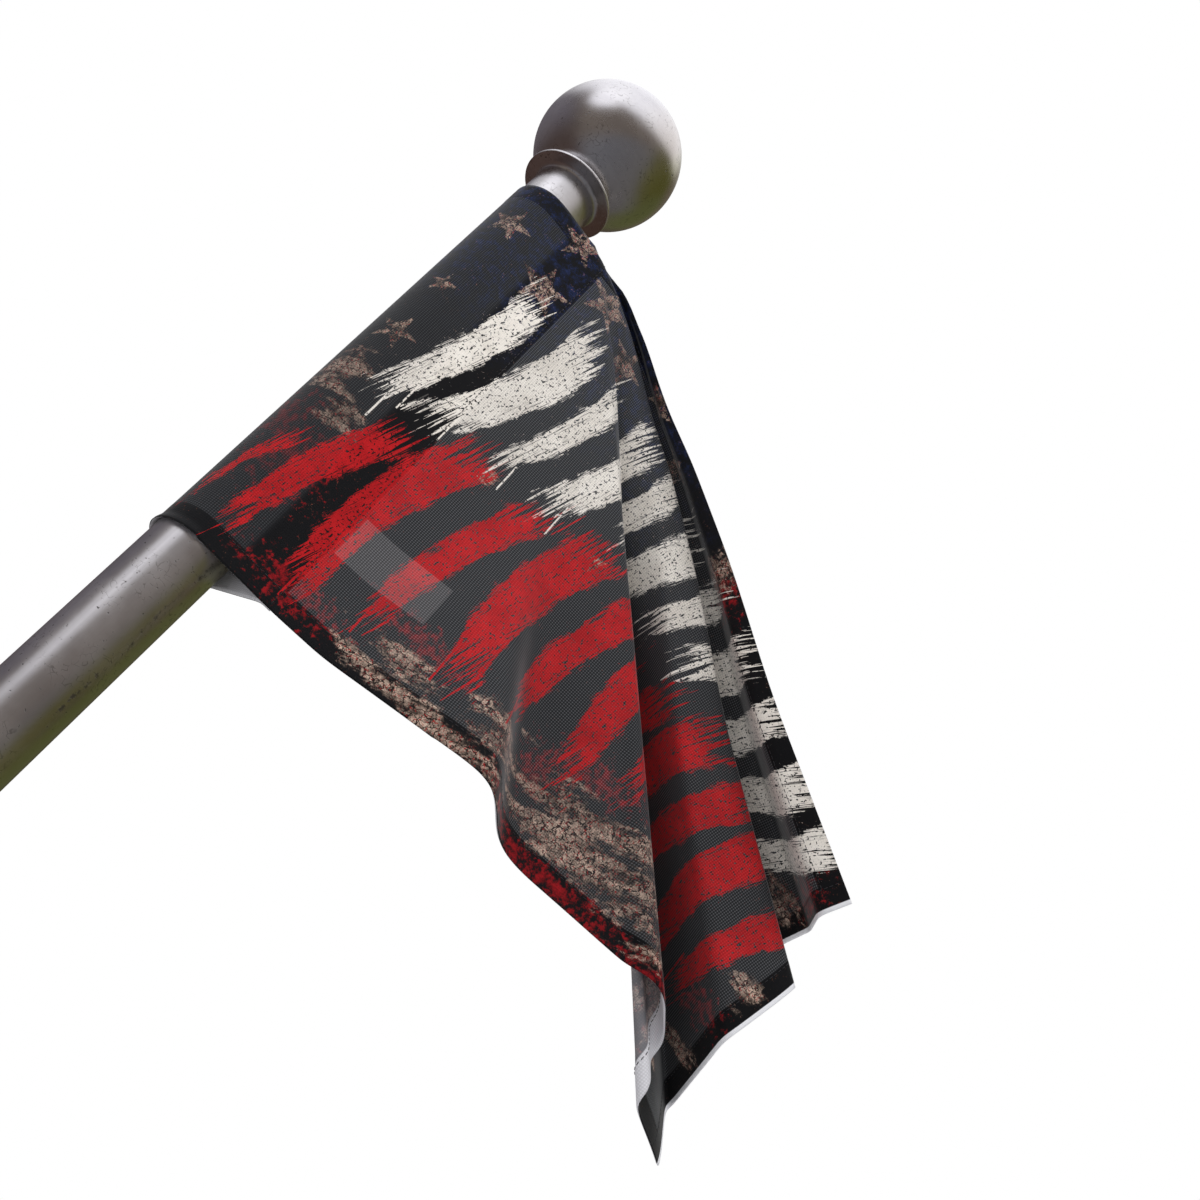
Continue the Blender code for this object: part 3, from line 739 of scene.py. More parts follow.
# The worn flag under the brush marks: stars of the canton, and stripes that are
# left as patches of cracked tan and dark red.
STARS = (
    # name            out    down   radius  turn   wear
    ("on the pole",    -9,    36,    14.5,    8,   0.40),
    ("at the top",     27,     8,    14.5,  -14,   0.34),
    ("on the sleeve",  29,    52,    16.0,   -8,   0.24),
    ("on the panel",   62,    24,    16.0,    6,   0.22),
    ("under it",       94,    38,    15.0,   10,   0.28),
    ("in the pleat",  131,     6,    14.5,    0,   0.34),
    ("farther",       168,    19,    14.5,    4,   0.34),
    ("low pole",       -9,   141,    14.5,   10,   0.46),
    ("faint",         -10,    98,    13.0,    0,   0.60),
)
TAN_PATCHES = (
    # name             out    down   half_out  half_down  lean
    ("below label",    108,   283,     26,        7,       10),
    ("label right",     92,   294,     20,        4,       14),
    ("edge left",      138,   300,     46,        8,        4),
    ("rising",         166,   280,     26,       15,      -28),
    ("upper streak",   232,   262,     62,        9,       -9),
    ("lower streak",   246,   284,     74,        8,       -2),
    ("between",        262,   272,     60,        8,       -6),
    ("behind",         330,   280,     50,       16,      -10),
    ("by the pole",      2,   202,     12,       11,       20),
    ("pole low",       -14,   178,     13,       18,        0),
    ("fly low",        404,   236,     18,        6,      -14),
    ("fly middle",     412,   178,      8,        9,      -30),
    ("fly top",        404,    62,     14,       12,        0),
    ("top edge",       238,    12,     12,       16,       10),
    ("speck",           78,   166,      4,        6,       20),
    ("speck right",    150,   160,      4,        6,        0),
)
RED_PATCHES = (
    # name             out    down   half_out  half_down  lean
    ("above broad",    222,   245,     36,       12,      -10),
    ("above left",     108,   268,     32,       10,       12),
    ("lower edge",     238,   300,     84,        9,        0),
    ("edge right",     318,   300,     46,       12,       -6),
    ("by the pole",      2,   238,     22,       26,       10),
    ("pole middle",    -16,   220,     16,       22,        0),
    ("top edge",       250,    14,     18,       20,        8),
    ("fly top",        412,    34,     14,       26,        0),
    ("fly low",        400,   206,     20,       12,      -20),
    ("trough",         196,   262,     14,       18,      -30),
    ("hem by pole",     48,   290,     34,       12,        0),
)


def brush_marks(s, place, rows, end_noise, edge_noise):
    """How far inside the nearest brush mark, in millimetres; negative outside."""
    best = None
    for _, out, down, length, width, bow, lean, taper in rows:
        local = s.mapping(place, (out, down, 0), (0, 0, math.radians(lean)), kind="TEXTURE")
        x, y, _ = s.split(local)
        half = length / 2
        y = s.math("MULTIPLY_ADD", s.mul(x, x), bow / half**2, y)
        y = s.add(y, -bow / 3)
        room = s.math("MULTIPLY_ADD", x, -width / 2 * taper / length, width / 2 * (1 - taper / 2))
        across = s.add(s.math("SUBTRACT", room, s.math("ABSOLUTE", y)), edge_noise)
        ends = s.add(s.math("MULTIPLY_ADD", s.math("ABSOLUTE", x), -1.0, half), end_noise)
        inside = s.math("MINIMUM", across, ends)
        best = inside if best is None else s.math("MAXIMUM", best, inside)
    return best


def drip_marks(s, out, down, rows):
    best = None
    for _, at, start, length, width in rows:
        side = s.math("ABSOLUTE", s.add(out, -float(at)))
        below = s.add(down, -float(start))
        past = s.math("MAXIMUM", s.add(below, -float(length)), s.mul(below, -1.0))
        past = s.math("MAXIMUM", past, 0.0)
        inside = s.math("SUBTRACT", width / 2, s.math("MAXIMUM", side, past))
        best = inside if best is None else s.math("MAXIMUM", best, inside)
    return best


def star_marks(s, place, ragged):
    """How far inside the nearest five-pointed star, in millimetres, less its wear."""
    best = None
    for _, out, down, radius, turn, wear in STARS:
        local = s.mapping(place, (out, down, 0), (0, 0, math.radians(turn)), kind="TEXTURE")
        x, y, _ = s.split(local)
        reach = s.math("SQRT", s.add(s.mul(x, x), s.mul(y, y)))
        around = s.add(s.math("ARCTAN2", x, s.mul(y, -1.0)), math.pi * 2)
        fold = s.math("PINGPONG", around, math.pi / 5)
        tip = np.array((radius, 0.0))
        notch = 0.40 * radius * np.array((math.cos(math.pi / 5), math.sin(math.pi / 5)))
        edge = notch - tip
        lean = math.atan2(edge[1], edge[0]) - math.pi / 2
        apothem = float(tip @ np.array((math.cos(lean), math.sin(lean))))
        line = s.mul(reach, s.math("COSINE", s.add(fold, -lean)))
        inside = s.math("SUBTRACT", apothem - 6.0 * (wear - 0.36), line)
        best = inside if best is None else s.math("MAXIMUM", best, inside)
    return s.add(best, ragged)


def patches(s, place, rows):
    """1 in the middle of the nearest patch, 0 on its outline, negative outside."""
    best = None
    for _, out, down, half_out, half_down, lean in rows:
        local = s.mapping(place, (out, down, 0), (0, 0, math.radians(lean)), (half_out, half_down, 1), kind="TEXTURE")
        n = s.node("ShaderNodeVectorMath", operation="LENGTH")
        s.put(n.inputs[0], local)
        best = n.outputs["Value"] if best is None else s.math("MINIMUM", best, n.outputs["Value"])
    return s.math("SUBTRACT", 1.0, best)


def cloth_place(s):
    """(vector, out, down) in millimetres on the flat cloth."""
    uv = s.node("ShaderNodeUVMap", uv_map="cloth").outputs[0]
    place = s.mapping(uv, (-200.0, -100.0, 0.0), (0, 0, 0), (1000.0, 1000.0, 1.0))
    out, down, _ = s.split(place)
    return place, out, down


def knit(s, out, down):
    """Fine knit: a grid of ribs 1.3 mm apart, crossed by courses 1.2 mm apart."""
    rib = s.ramp(s.math("SINE", s.mul(out, 2 * math.pi / 1.30)), -0.8, 0.8)
    course = s.ramp(s.math("SINE", s.mul(down, 2 * math.pi / 1.20)), -0.8, 0.8)
    return rib, s.mul(s.add(s.mul(rib, 0.60), 0.40), s.add(s.mul(course, 0.60), 0.40))


def print_colour(s, place, out, down):
    """The printed side: worn flag underlay and two colours of dry brush marks, over painted light and shade for the
    layers of cloth.
    """
    broad = s.noise(place, 0.012, 3.0, 0.6)
    patch = s.noise(place, 0.045, 5.0, 0.65)
    grain = s.noise(place, 0.30, 4.0, 0.7)
    fine = s.noise(place, 0.85, 3.0, 0.7)
    # cloth tone: single layer, two layers, or the pole close behind, as painted light and shade: a single layer is
    # painted lighter for light shining through it, two layers and hems darker, and the pocket away from the pole
    # darkest, as painted shade
    rim = s.math("MINIMUM", s.math("MINIMUM", down, s.math("SUBTRACT", HOIST * 1000, down)),
                 s.math("SUBTRACT", FLY_AT * 1000, out))
    hem = s.ramp(rim, HEM_W * 1000 + 0.4, HEM_W * 1000 - 0.4)
    pocket = s.ramp(out, SEAM_AT * 1000 + 0.4, SEAM_AT * 1000 - 0.4)
    hollow_shade = s.mul(pocket, s.ramp(out, 17.0, 22.0))
    single = s.mul(s.math("SUBTRACT", 1.0, hem), s.math("SUBTRACT", 1.0, pocket))
    tone = s.mix(single, srgb(31, 32, 35), srgb(22, 23, 25))
    tone = s.mix(s.math("MAXIMUM", s.mul(hollow_shade, 0.85), s.mul(hem, 0.80)), tone, srgb(14, 14, 16))
    tone = s.mix(s.ramp(broad, 0.35, 0.65, 0.0, 0.30), tone, srgb(17, 17, 19))
    # cracked paint: crossing cracks in two sizes over a streaky grunge
    shaken = s.join(s.math("MULTIPLY_ADD", s.noise(place, 0.30, 4.0), 7.0, out),
                    s.math("MULTIPLY_ADD", s.noise(s.mapping(place, (90, 40, 0)), 0.30, 4.0), 7.0, down))
    crack_wide = s.ramp(s.voronoi(shaken, 0.23, "DISTANCE_TO_EDGE"), 0.01, 0.10)
    crack_fine = s.ramp(s.voronoi(shaken, 0.62, "DISTANCE_TO_EDGE"), 0.02, 0.14)
    cracks = s.mul(s.add(s.mul(crack_wide, 0.7), 0.3), s.add(s.mul(crack_fine, 0.6), 0.4))
    grunge = s.noise(shaken, 0.16, 6.0, 0.72)
    # long streaks that follow the worn stripe, up to the right
    swept = s.mapping(place, (0, 0, 0), (0, 0, math.radians(-14)), kind="TEXTURE")
    sweep = s.noise(s.mapping(swept, scale=(0.022, 0.11, 1.0)), 1.0, 4.0, 0.62)
    # canton: navy only in patches of speckle
    reach = s.math("MAXIMUM", s.math("MULTIPLY_ADD", out, 1 / 225.0, 0.0), s.mul(down, 1 / 112.0))
    canton = s.ramp(s.add(reach, s.mul(s.add(patch, -0.5), 1.1)), 1.06, 0.55)
    navy_on = s.mul(canton, s.ramp(s.add(s.mul(grunge, 0.65), s.mul(fine, 0.35)), 0.46, 0.58))
    tone = s.mix(s.mul(navy_on, s.ramp(patch, 0.32, 0.56, 0.20, 0.72)), tone, s.mix(s.ramp(grain, 0.3, 0.7), srgb(18, 25, 50), srgb(38, 54, 98)))
    flecks = s.mul(s.ramp(s.add(s.mul(fine, 0.6), s.mul(grain, 0.4)), 0.590, 0.640), s.ramp(patch, 0.44, 0.58))
    tone = s.mix(s.mul(flecks, s.ramp(canton, 0.0, 1.0, 0.35, 0.70)), tone, srgb(160, 108, 84))
    # stars and stripes
    wander = s.mul(s.add(grunge, -0.5), 3.0)
    star = s.ramp(star_marks(s, place, s.add(wander, s.mul(s.add(fine, -0.5), 2.2))), -0.30, 0.45)
    star = s.mul(star, s.ramp(s.add(s.mul(grunge, 0.7), s.mul(cracks, 0.30)), 0.44, 0.56))
    level = s.add(s.mul(patches(s, place, TAN_PATCHES), 0.80), s.add(s.mul(s.add(grunge, -0.5), 1.9), s.mul(s.add(sweep, -0.5), 3.0)))
    tan_level = s.math("MAXIMUM", s.ramp(level, -0.10, 0.42), s.mul(star, 0.92))
    pale = s.add(s.mul(s.add(sweep, -0.5), 2.0), s.add(s.mul(s.add(grunge, -0.5), 1.5), s.mul(s.add(grain, -0.5), 0.8)))
    bed = s.mix(s.ramp(pale, -0.36, 0.50), srgb(62, 50, 44), srgb(206, 180, 162))
    bed = s.mix(s.ramp(cracks, 0.75, 0.25), bed, srgb(30, 24, 22))
    bed = s.mix(s.mul(s.ramp(fine, 0.55, 0.60), s.ramp(grain, 0.45, 0.54)), bed, srgb(150, 28, 30))
    over_pole = s.ramp(out, 22.0, 10.0)
    faded = s.mul(s.ramp(star, 0.0, 0.6, 1.0, 0.0), s.mul(over_pole, 0.45))
    tone = s.mix(s.mul(tan_level, s.math("SUBTRACT", 1.0, faded)), tone, bed)
    red_level = s.add(s.mul(patches(s, place, RED_PATCHES), 0.55), s.add(s.mul(s.add(grain, -0.5), 1.8), s.mul(s.add(grunge, -0.5), 2.4)))
    red_on = s.mul(s.ramp(red_level, 0.08, 0.48), s.math("SUBTRACT", 1.0, s.mul(tan_level, 0.80)))
    tone = s.mix(s.mul(red_on, s.math("MULTIPLY_ADD", over_pole, -0.50, 0.85)), tone, s.mix(s.ramp(s.add(s.mul(grain, 0.5), s.mul(grunge, 0.5)), 0.42, 0.62), srgb(62, 8, 13), srgb(150, 20, 27)))
    # brush marks
    turned = s.mapping(place, (0, 0, 0), (0, 0, math.radians(BRISTLE_LEAN)), kind="TEXTURE")
    bristle = s.noise(s.mapping(turned, scale=(0.018, 0.55, 1.0)), 1.0, 3.0, 0.60)
    streak = s.add(bristle, -0.5)
    hairs = s.add(s.noise(s.mapping(turned, (40, 7, 0), (0, 0, 0), (0.05, 1.25, 1.0)), 1.0, 2.0, 0.5), -0.5)
    end_noise = s.add(s.mul(streak, 120.0), s.mul(hairs, 42.0))
    rough_side = s.mul(s.ramp(patch, 0.42, 0.62), s.mul(hairs, 16.0))
    edge_noise = s.add(s.mul(s.add(patch, -0.5), 10.0), s.add(rough_side, s.add(s.mul(hairs, 3.0), s.mul(s.add(fine, -0.5), 1.8))))
    speck = s.ramp(s.noise(place, 0.62, 1.0, 0.45), 0.345, 0.362)
    small = s.ramp(s.add(s.mul(fine, 0.70), s.mul(grain, 0.30)), 0.385, 0.400)
    chip = s.ramp(s.noise(s.mapping(turned, (3, 9, 0), (0, 0, 0), (0.26, 0.60, 1.0)), 1.0, 1.0, 0.45), 0.325, 0.340)
    pits = s.mul(s.mul(speck, small), chip)
    results = []
    for rows, drips, seed in ((RED_MARKS, RED_DRIPS, 0.0), (WHITE_MARKS, DRIPS, 1.0)):
        inside = brush_marks(s, place, rows, end_noise, edge_noise)
        gap = s.mul(s.ramp(hairs, 0.070, 0.105), s.mul(s.ramp(inside, 8.5, 3.5), s.ramp(patch, 0.37, 0.50)))
        body = s.mul(s.ramp(inside, -0.12, 0.22), s.math("SUBTRACT", 1.0, s.mul(gap, 0.92)))
        run = s.ramp(s.add(drip_marks(s, out, down, drips), s.mul(s.add(fine, -0.5), 0.5)), -0.1, 0.2)
        paint = s.mul(s.math("MAXIMUM", body, run), s.math("MAXIMUM", pits, 0.03))
        mist = s.mul(s.ramp(s.add(s.mul(fine, 0.7), s.mul(grain, 0.3)), 0.635, 0.655), s.ramp(inside, -9.0, -1.0))
        results.append(s.math("MAXIMUM", paint, s.mul(mist, 0.85)))
    red = s.mix(s.ramp(patch, 0.3, 0.7), srgb(164, 17, 23), srgb(194, 27, 32))
    # painted shade: the red is a little darker inside the pocket away from the pole
    tone = s.mix(s.mul(results[0], s.math("MULTIPLY_ADD", hollow_shade, -0.12, 1.0)), tone, red)
    white = s.mix(s.ramp(patch, 0.3, 0.7), srgb(216, 209, 200), srgb(236, 230, 222))
    white = s.mix(s.mul(s.ramp(grain, 0.40, 0.30), 0.25), white, srgb(168, 150, 138))
    tone = s.mix(results[1], tone, white)
    ink = s.math("MAXIMUM", results[0], results[1])
    cover = s.math("MAXIMUM", ink, s.mul(tan_level, 0.75))
    return tone, single, hem, pocket, cover, grain


def cloth_front():
    s = Shade("flag_print")
    place, out, down = cloth_place(s)
    tone, single, hem, pocket, ink, grain = print_colour(s, place, out, down)
    rib, stitch = knit(s, out, down)
    # light passes between the threads of a single layer, less where paint fills
    # them, and a little where the sleeve lies on the pale steel
    bare = s.math("MULTIPLY_ADD", ink, -0.80, 1.0)
    wrap = s.mul(s.mul(pocket, s.ramp(out, 20.0, 16.0)), s.math("SUBTRACT", 1.0, hem))
    sheer = s.mul(s.add(s.mul(single, 0.28), s.mul(wrap, 0.12)), bare)
    tone = s.mix(s.mul(sheer, stitch), tone, srgb(150, 152, 157))
    depth = s.add(s.mul(s.add(single, wrap), s.math("MULTIPLY_ADD", ink, -0.25, 0.48)), 0.12)
    tone = s.mix(s.mul(s.math("SUBTRACT", 1.0, stitch), depth), tone, srgb(9, 9, 10))
    # the tape behind shows as a paler oblong
    lx = s.mul(s.ramp(out, LABEL_OUT * 1000 - 0.5, LABEL_OUT * 1000 + 0.5),
               s.ramp(out, (LABEL_OUT + LABEL_L) * 1000 + 0.5, (LABEL_OUT + LABEL_L) * 1000 - 0.5))
    ly = s.mul(s.ramp(down, LABEL_DROP * 1000 - 0.5, LABEL_DROP * 1000 + 0.5),
               s.ramp(down, (LABEL_DROP + LABEL_W) * 1000 + 0.5, (LABEL_DROP + LABEL_W) * 1000 - 0.5))
    tape = s.mul(lx, ly)
    tone = s.mix(s.mul(tape, s.ramp(stitch, 0.0, 1.0, 0.06, 0.17)), tone, srgb(176, 172, 174))
    # the fold of the fly hem shows the unprinted side
    edge = s.ramp(s.math("SUBTRACT", FLY_AT * 1000, out), 2.5, 2.1)
    tone = s.mix(edge, tone, srgb(226, 226, 230))
    s.put(s.bsdf.inputs["Base Color"], tone)
    s.put(s.bsdf.inputs["Roughness"], s.math("MULTIPLY_ADD", ink, -0.10, 0.70))
    s.bsdf.inputs["Specular IOR Level"].default_value = 0.13
    s.bsdf.inputs["Sheen Weight"].default_value = 0.17
    s.bsdf.inputs["Sheen Roughness"].default_value = 0.35
    soft = s.noise(place, 0.05, 2.0)
    n1 = s.bump(soft, 0.30, 0.0016)
    s.put(s.bsdf.inputs["Normal"], s.bump(stitch, 0.20, 0.00024, n1))
    return s.mat


def cloth_back():
    s = Shade("flag_reverse")
    place, out, down = cloth_place(s)
    tone, single, hem, pocket, ink, grain = print_colour(s, place, out, down)
    rib, stitch = knit(s, out, down)
    # the unprinted side: pale, with the print showing weakly through one layer; two layers are painted paler as painted
    # light inside the pocket, and a single layer greyer, partly as painted shade
    ghost_and_painted_light = s.mix(s.ramp(single, 0.0, 1.0, 0.12, 0.60), s.mix(single, srgb(226, 225, 230), srgb(174, 172, 178)), tone)
    ghost_and_painted_light = s.mix(s.mul(s.math("SUBTRACT", 1.0, stitch), 0.28), ghost_and_painted_light, srgb(70, 68, 70))
    s.put(s.bsdf.inputs["Base Color"], ghost_and_painted_light)
    s.bsdf.inputs["Roughness"].default_value = 0.8
    s.bsdf.inputs["Specular IOR Level"].default_value = 0.2
    s.put(s.bsdf.inputs["Normal"], s.bump(stitch, 0.3, 0.0002))
    return s.mat


def cloth_rim():
    s = Shade("flag_edge")
    place, out, down = cloth_place(s)
    fleck = s.noise(place, 2.0, 2.0)
    fly = s.ramp(s.math("SUBTRACT", FLY_AT * 1000, out), 2.5, 2.1)
    dark = s.mix(s.ramp(fleck, 0.35, 0.65), srgb(26, 26, 28), srgb(66, 66, 70))
    s.put(s.bsdf.inputs["Base Color"], s.mix(fly, dark, srgb(214, 214, 218)))
    s.bsdf.inputs["Roughness"].default_value = 0.85
    return s.mat


def thread():
    s = Shade("flag_thread")
    at = s.node("ShaderNodeTexCoord").outputs["Object"]
    ply = s.noise(at, 2600.0, 2.0)
    s.put(s.bsdf.inputs["Base Color"], s.mix(ply, srgb(18, 18, 20), srgb(52, 52, 56)))
    s.bsdf.inputs["Roughness"].default_value = 0.55
    s.put(s.bsdf.inputs["Normal"], s.bump(ply, 0.4, 0.0001))
    return s.mat


def tape_cloth():
    s = Shade("care_tape_satin")
    uv = s.node("ShaderNodeUVMap", uv_map="tape").outputs[0]
    x, y, _ = s.split(uv)
    weft = s.math("SINE", s.mul(x, 2 * math.pi * 110))
    warp = s.math("SINE", s.mul(y, 2 * math.pi * 60))
    weave = s.mul(weft, warp)
    mottled = s.noise(s.mapping(uv, scale=(9, 5, 1)), 1.0, 3.0)
    tone = s.mix(s.ramp(mottled, 0.3, 0.7), srgb(216, 214, 214), srgb(236, 235, 236))
    tone = s.mix(s.ramp(weave, -0.2, 1.0, 0.0, 0.2), tone, srgb(170, 168, 170))
    ends = s.ramp(s.math("MINIMUM", y, s.math("SUBTRACT", 1.0, y)), 0.035, 0.02)
    tone = s.mix(s.mul(ends, 0.5), tone, srgb(180, 178, 180))
    s.put(s.bsdf.inputs["Base Color"], tone)
    s.bsdf.inputs["Roughness"].default_value = 0.45
    s.put(s.bsdf.inputs["Normal"], s.bump(weave, 0.3, 0.0001))
    return s.mat


def worn_steel(name, turned_marks):
    """Satin steel: a soft haze, short curved scratches, dark pits, and a painted reflection of brown and olive ground
    on the underside.
    """
    s = Shade(name)
    at = s.node("ShaderNodeTexCoord").outputs["Object"]
    axis = s.mapping(at, (0, 0, 0), (0, TILT, 0))            # x along the pole after this turn
    along, side, up = s.split(axis)
    cloud = s.noise(at, 24.0, 5.0, 0.62)
    stain = s.noise(at, 9.0, 4.0, 0.6)
    stretch = (700.0, 22.0, 22.0) if turned_marks else (12.0, 560.0, 560.0)
    lines = s.noise(s.mapping(axis, scale=stretch), 1.0, 3.0, 0.6)
    # short curved scratches in clusters
    wander = s.node("ShaderNodeTexNoise")
    s.put(wander.inputs["Vector"], at)
    wander.inputs["Scale"].default_value = 95.0
    wander.inputs["Detail"].default_value = 1.0
    bent = s.node("ShaderNodeVectorMath", operation="MULTIPLY_ADD")
    s.put(bent.inputs[0], wander.outputs["Color"])
    bent.inputs[1].default_value = (0.011, 0.011, 0.011)
    s.put(bent.inputs[2], at)
    cell = s.voronoi(s.mapping(bent.outputs[0], scale=(260, 260, 260)), 1.0, "DISTANCE_TO_EDGE")
    cluster = s.mul(s.ramp(s.noise(at, 48.0, 2.0, 0.5), 0.50, 0.60), s.ramp(s.noise(at, 330.0, 1.0, 0.5), 0.47, 0.56))
    scratch = s.mul(s.ramp(cell, 0.055, 0.018), cluster)
    pit = s.mul(s.ramp(s.noise(at, 420.0, 2.0, 0.6), 0.67, 0.73), s.ramp(stain, 0.42, 0.58))
    tone = s.mix(s.ramp(cloud, 0.30, 0.72), srgb(190, 188, 191), srgb(215, 213, 214))
    if not turned_marks:
        tone = s.mix(0.08, tone, srgb(112, 110, 108))
    tone = s.mix(s.mul(s.ramp(lines, 0.35, 0.70), 0.05 if turned_marks else 0.10), tone, srgb(138, 134, 132))
    # painted reflection: brown and olive ground painted on the underside, with a row of dark spots at its edge
    shade = s.add(up, s.mul(s.add(stain, -0.5), 0.010))
    reach = BALL_D / POLE_D if turned_marks else 1.0
    brown = s.ramp(shade, 0.004 * reach, -0.012 * reach)
    olive = s.ramp(shade, -0.0105 * reach, -0.0165 * reach)
    tone = s.mix(s.mul(brown, 0.42), tone, srgb(158, 142, 116))
    tone = s.mix(s.mul(olive, 0.42), tone, srgb(152, 154, 86))
    row = s.math("ABSOLUTE", s.add(s.add(up, s.mul(s.add(cloud, -0.5), 0.006)), 0.0128 * reach))
    spots = s.mul(s.ramp(row, 0.0020, 0.0003), s.mul(s.ramp(s.noise(at, 240.0, 3.0, 0.65), 0.50, 0.62), s.ramp(s.noise(at, 30.0, 2.0, 0.5), 0.46, 0.56)))
    marks = pit if turned_marks else s.math("MAXIMUM", pit, s.mul(spots, 0.85))
    tone = s.mix(s.mul(scratch, 0.42), tone, srgb(82, 76, 74))
    tone = s.mix(s.mul(marks, 0.75), tone, srgb(52, 46, 42))
    s.put(s.bsdf.inputs["Base Color"], tone)
    s.bsdf.inputs["Metallic"].default_value = 1.0
    rough = s.add(s.ramp(cloud, 0.25, 0.75, *((0.22, 0.32) if turned_marks else (0.28, 0.38))), s.mul(s.ramp(lines, 0.3, 0.7), 0.03))
    s.put(s.bsdf.inputs["Roughness"], s.add(rough, s.mul(marks, 0.3)))
    n1 = s.bump(stain, 0.22, 0.0012)
    height = s.add(s.mul(lines, 0.04 if turned_marks else 0.12), s.add(s.mul(scratch, -0.25), s.mul(marks, -0.9)))
    s.put(s.bsdf.inputs["Normal"], s.bump(height, 0.25, 0.00022, n1))
    return s.mat


# ------------------------------------------------------------------ the pieces
cloth = cloth_sheet()
for maker in (cloth_front, cloth_back, cloth_rim):
    cloth.data.materials.append(maker())
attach(cloth, "root")
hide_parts("flag")

sewing = stitches()
sewing.data.materials.append(thread())
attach(sewing, "root")

tape = label_tape()
tape.data.materials.append(tape_cloth())
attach(tape, "root")
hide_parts("care_label")

tube = turned("pole_tube", pole_section(), 144)
tube.data.materials.append(worn_steel("pole_worn_steel", False))
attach(tube, "root")
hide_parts("pole")

ball = turned("ball_finial", finial_section(), 168)
ball.data.materials.append(worn_steel("finial_worn_steel", True))
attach(ball, "root")
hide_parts("finial")

# ------------------------------------------------------------ camera and light
CAM_AT = Vector((-0.0731, -0.7354, -0.1475))
CAM_FORWARD = Vector((0.4541, 0.8227, 0.3420)).normalized()
cam_data = bpy.data.cameras.new("camera")
cam_data.lens = 50.0
cam_data.sensor_width = 36.0
cam_data.clip_start = 0.01
cam = bpy.data.objects.new("camera", cam_data)
bpy.context.scene.collection.objects.link(cam)
right = CAM_FORWARD.cross(Vector((0, 0, 1))).normalized()
up = right.cross(CAM_FORWARD).normalized()
cam.matrix_world = Matrix.Translation(CAM_AT) @ Matrix((right, up, -CAM_FORWARD)).transposed().to_4x4()
bpy.context.scene.camera = cam


def soft_light(name, place, aim, size, power, colour=(1, 1, 1)):
    data = bpy.data.lights.new(name, "AREA")
    data.shape = "RECTANGLE"
    data.size, data.size_y = size
    data.energy = power
    data.color = colour
    obj = bpy.data.objects.new(name, data)
    obj.matrix_world = Matrix.Translation(Vector(place)) @ (Vector(place) - Vector(aim)).to_track_quat("Z", "Y").to_matrix().to_4x4()
    bpy.context.scene.collection.objects.link(obj)
    obj.visible_glossy = False
    return obj


MIDDLE = (0.27, 0.0, 0.2)
soft_light("key", (0.08, -1.25, 1.75), MIDDLE, (1.1, 0.9), 24.0)
soft_light("fill", (-1.5, -1.3, 0.5), MIDDLE, (1.3, 1.3), 6.0)
soft_light("side", (1.5, -1.1, 0.7), MIDDLE, (1.2, 1.2), 8.0)
soft_light("top", (0.1, 0.6, 2.0), MIDDLE, (1.4, 1.4), 14.0)

# A plain studio: white for the camera, even grey for soft light, and for gloss a
# bright ceiling over darker walls, a brown corner and a patch of dull green.
world = bpy.data.worlds.new("studio")
bpy.context.scene.world = world
world.use_nodes = True


class Room(Shade):
    """The same short node names, for the world's tree."""

    def __init__(self, tree):
        self.tree = tree


room = Room(world.node_tree)
for n in list(room.tree.nodes):
    room.tree.nodes.remove(n)
way = room.node("ShaderNodeTexCoord").outputs["Generated"]
wx, wy, wz = room.split(way)
uneven = room.mul(room.add(room.noise(way, 1.9, 2.0, 0.5), -0.5), 0.20)


def lobe(direction, start, full, steady=False):
    """1 around one direction of the room, fading to 0 away from it."""
    n = room.node("ShaderNodeVectorMath", operation="DOT_PRODUCT")
    room.put(n.inputs[0], way)
    n.inputs[1].default_value = direction
    return room.ramp(n.outputs["Value"] if steady else room.add(n.outputs["Value"], uneven), start, full)


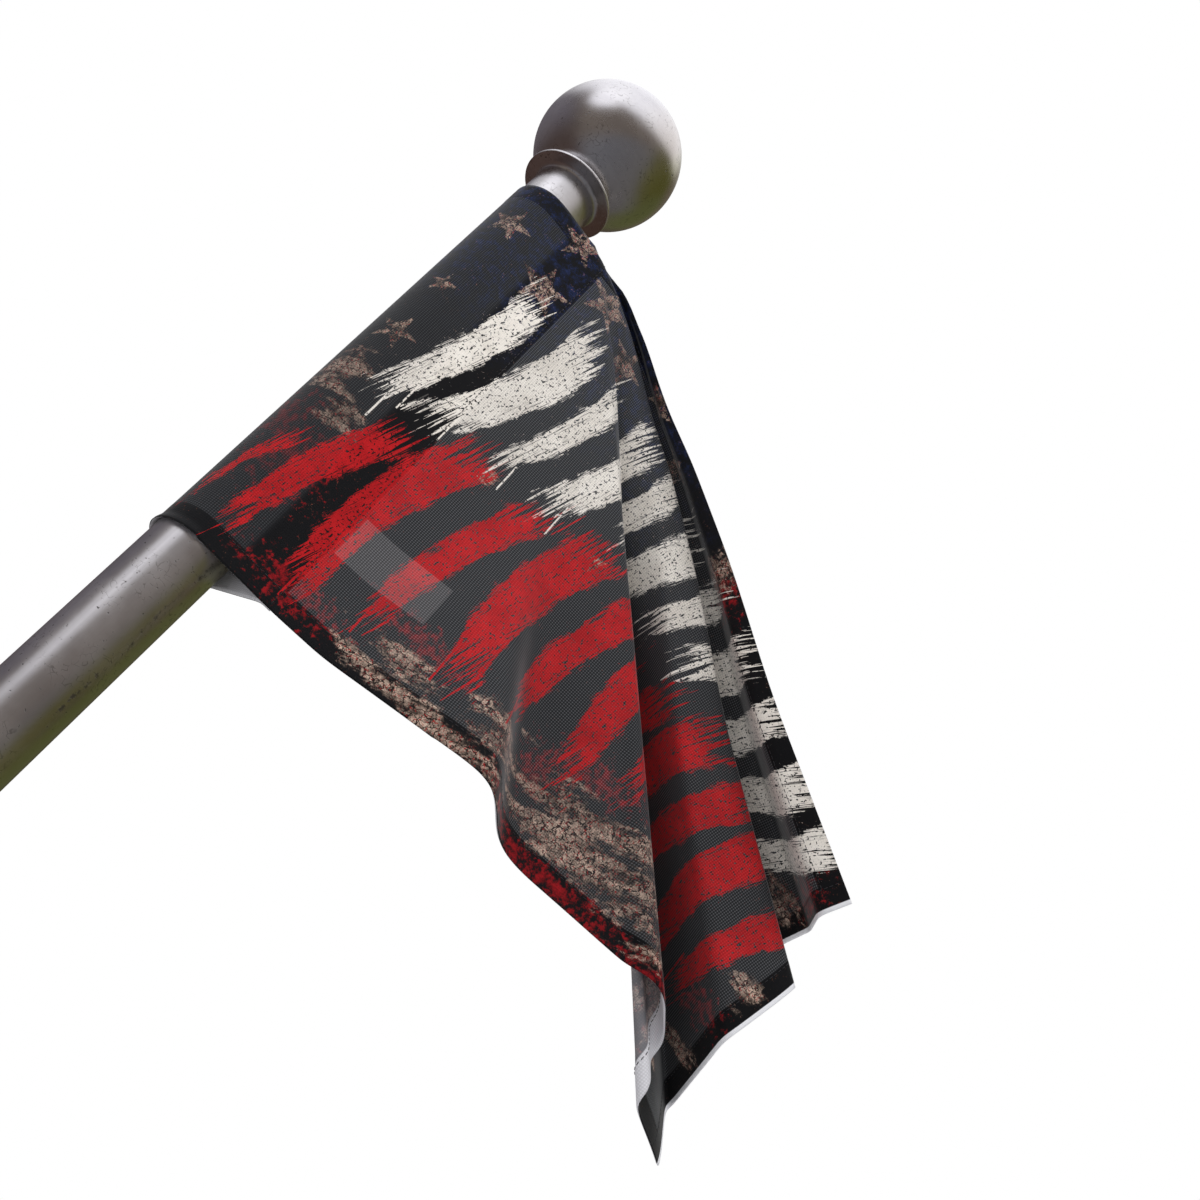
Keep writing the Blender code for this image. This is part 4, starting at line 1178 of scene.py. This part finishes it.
back = room.ramp(room.math("SUBTRACT", room.mul(wy, 0.8), room.mul(wx, 0.6)), 0.10, 0.55)
back_wall = room.mix(room.ramp(wz, 0.20, 0.90), (0.075, 0.052, 0.045, 1), (0.19, 0.175, 0.20, 1))
wall = room.mix(back, (0.195, 0.163, 0.138, 1), back_wall)
ground = room.mix(back, (0.180, 0.180, 0.195, 1), (0.085, 0.054, 0.045, 1))
base = room.mix(room.ramp(wz, 0.10, -0.18), wall, ground)
base = room.mix(lobe((0.948, -0.100, -0.300), 0.74, 0.92), base, (0.145, 0.142, 0.050, 1))
base = room.mix(lobe((0.700, 0.640, -0.310), 0.82, 0.95), base, (0.160, 0.175, 0.085, 1))
bright = lobe((0.500, -0.100, 0.860), 0.60, 0.82)
strip = lobe((-0.240, -0.420, 0.875), 0.920, 0.985, steady=True)
glossy = room.mix(bright, base, (1.38, 1.38, 1.43, 1))
glossy = room.mix(strip, glossy, (1.60, 1.60, 1.67, 1))
seen = room.node("ShaderNodeBackground")
seen.inputs[0].default_value = (1, 1, 1, 1)
lit = room.node("ShaderNodeBackground")
lit.inputs[0].default_value = (0.55, 0.55, 0.56, 1)
lit.inputs[1].default_value = 0.75
mirrored = room.node("ShaderNodeBackground")
room.put(mirrored.inputs[0], glossy)
ray = room.node("ShaderNodeLightPath")
inner = room.node("ShaderNodeMixShader")
room.put(inner.inputs[0], ray.outputs["Is Glossy Ray"])
room.put(inner.inputs[1], lit.outputs[0])
room.put(inner.inputs[2], mirrored.outputs[0])
outer = room.node("ShaderNodeMixShader")
room.put(outer.inputs[0], ray.outputs["Is Camera Ray"])
room.put(outer.inputs[1], inner.outputs[0])
room.put(outer.inputs[2], seen.outputs[0])
room.put(room.node("ShaderNodeOutputWorld").inputs[0], outer.outputs[0])

bpy.ops.mesh.primitive_plane_add(size=8.0, location=(0.2, 0.3, -0.46))
floor = bpy.context.object
floor.name = "studio_floor"
pale = Shade("pale_floor")
pale.bsdf.inputs["Base Color"].default_value = (0.80, 0.80, 0.80, 1)
pale.bsdf.inputs["Roughness"].default_value = 0.9
floor.data.materials.append(pale.mat)
floor.visible_glossy = False

bpy.context.scene.view_settings.view_transform = "Standard"
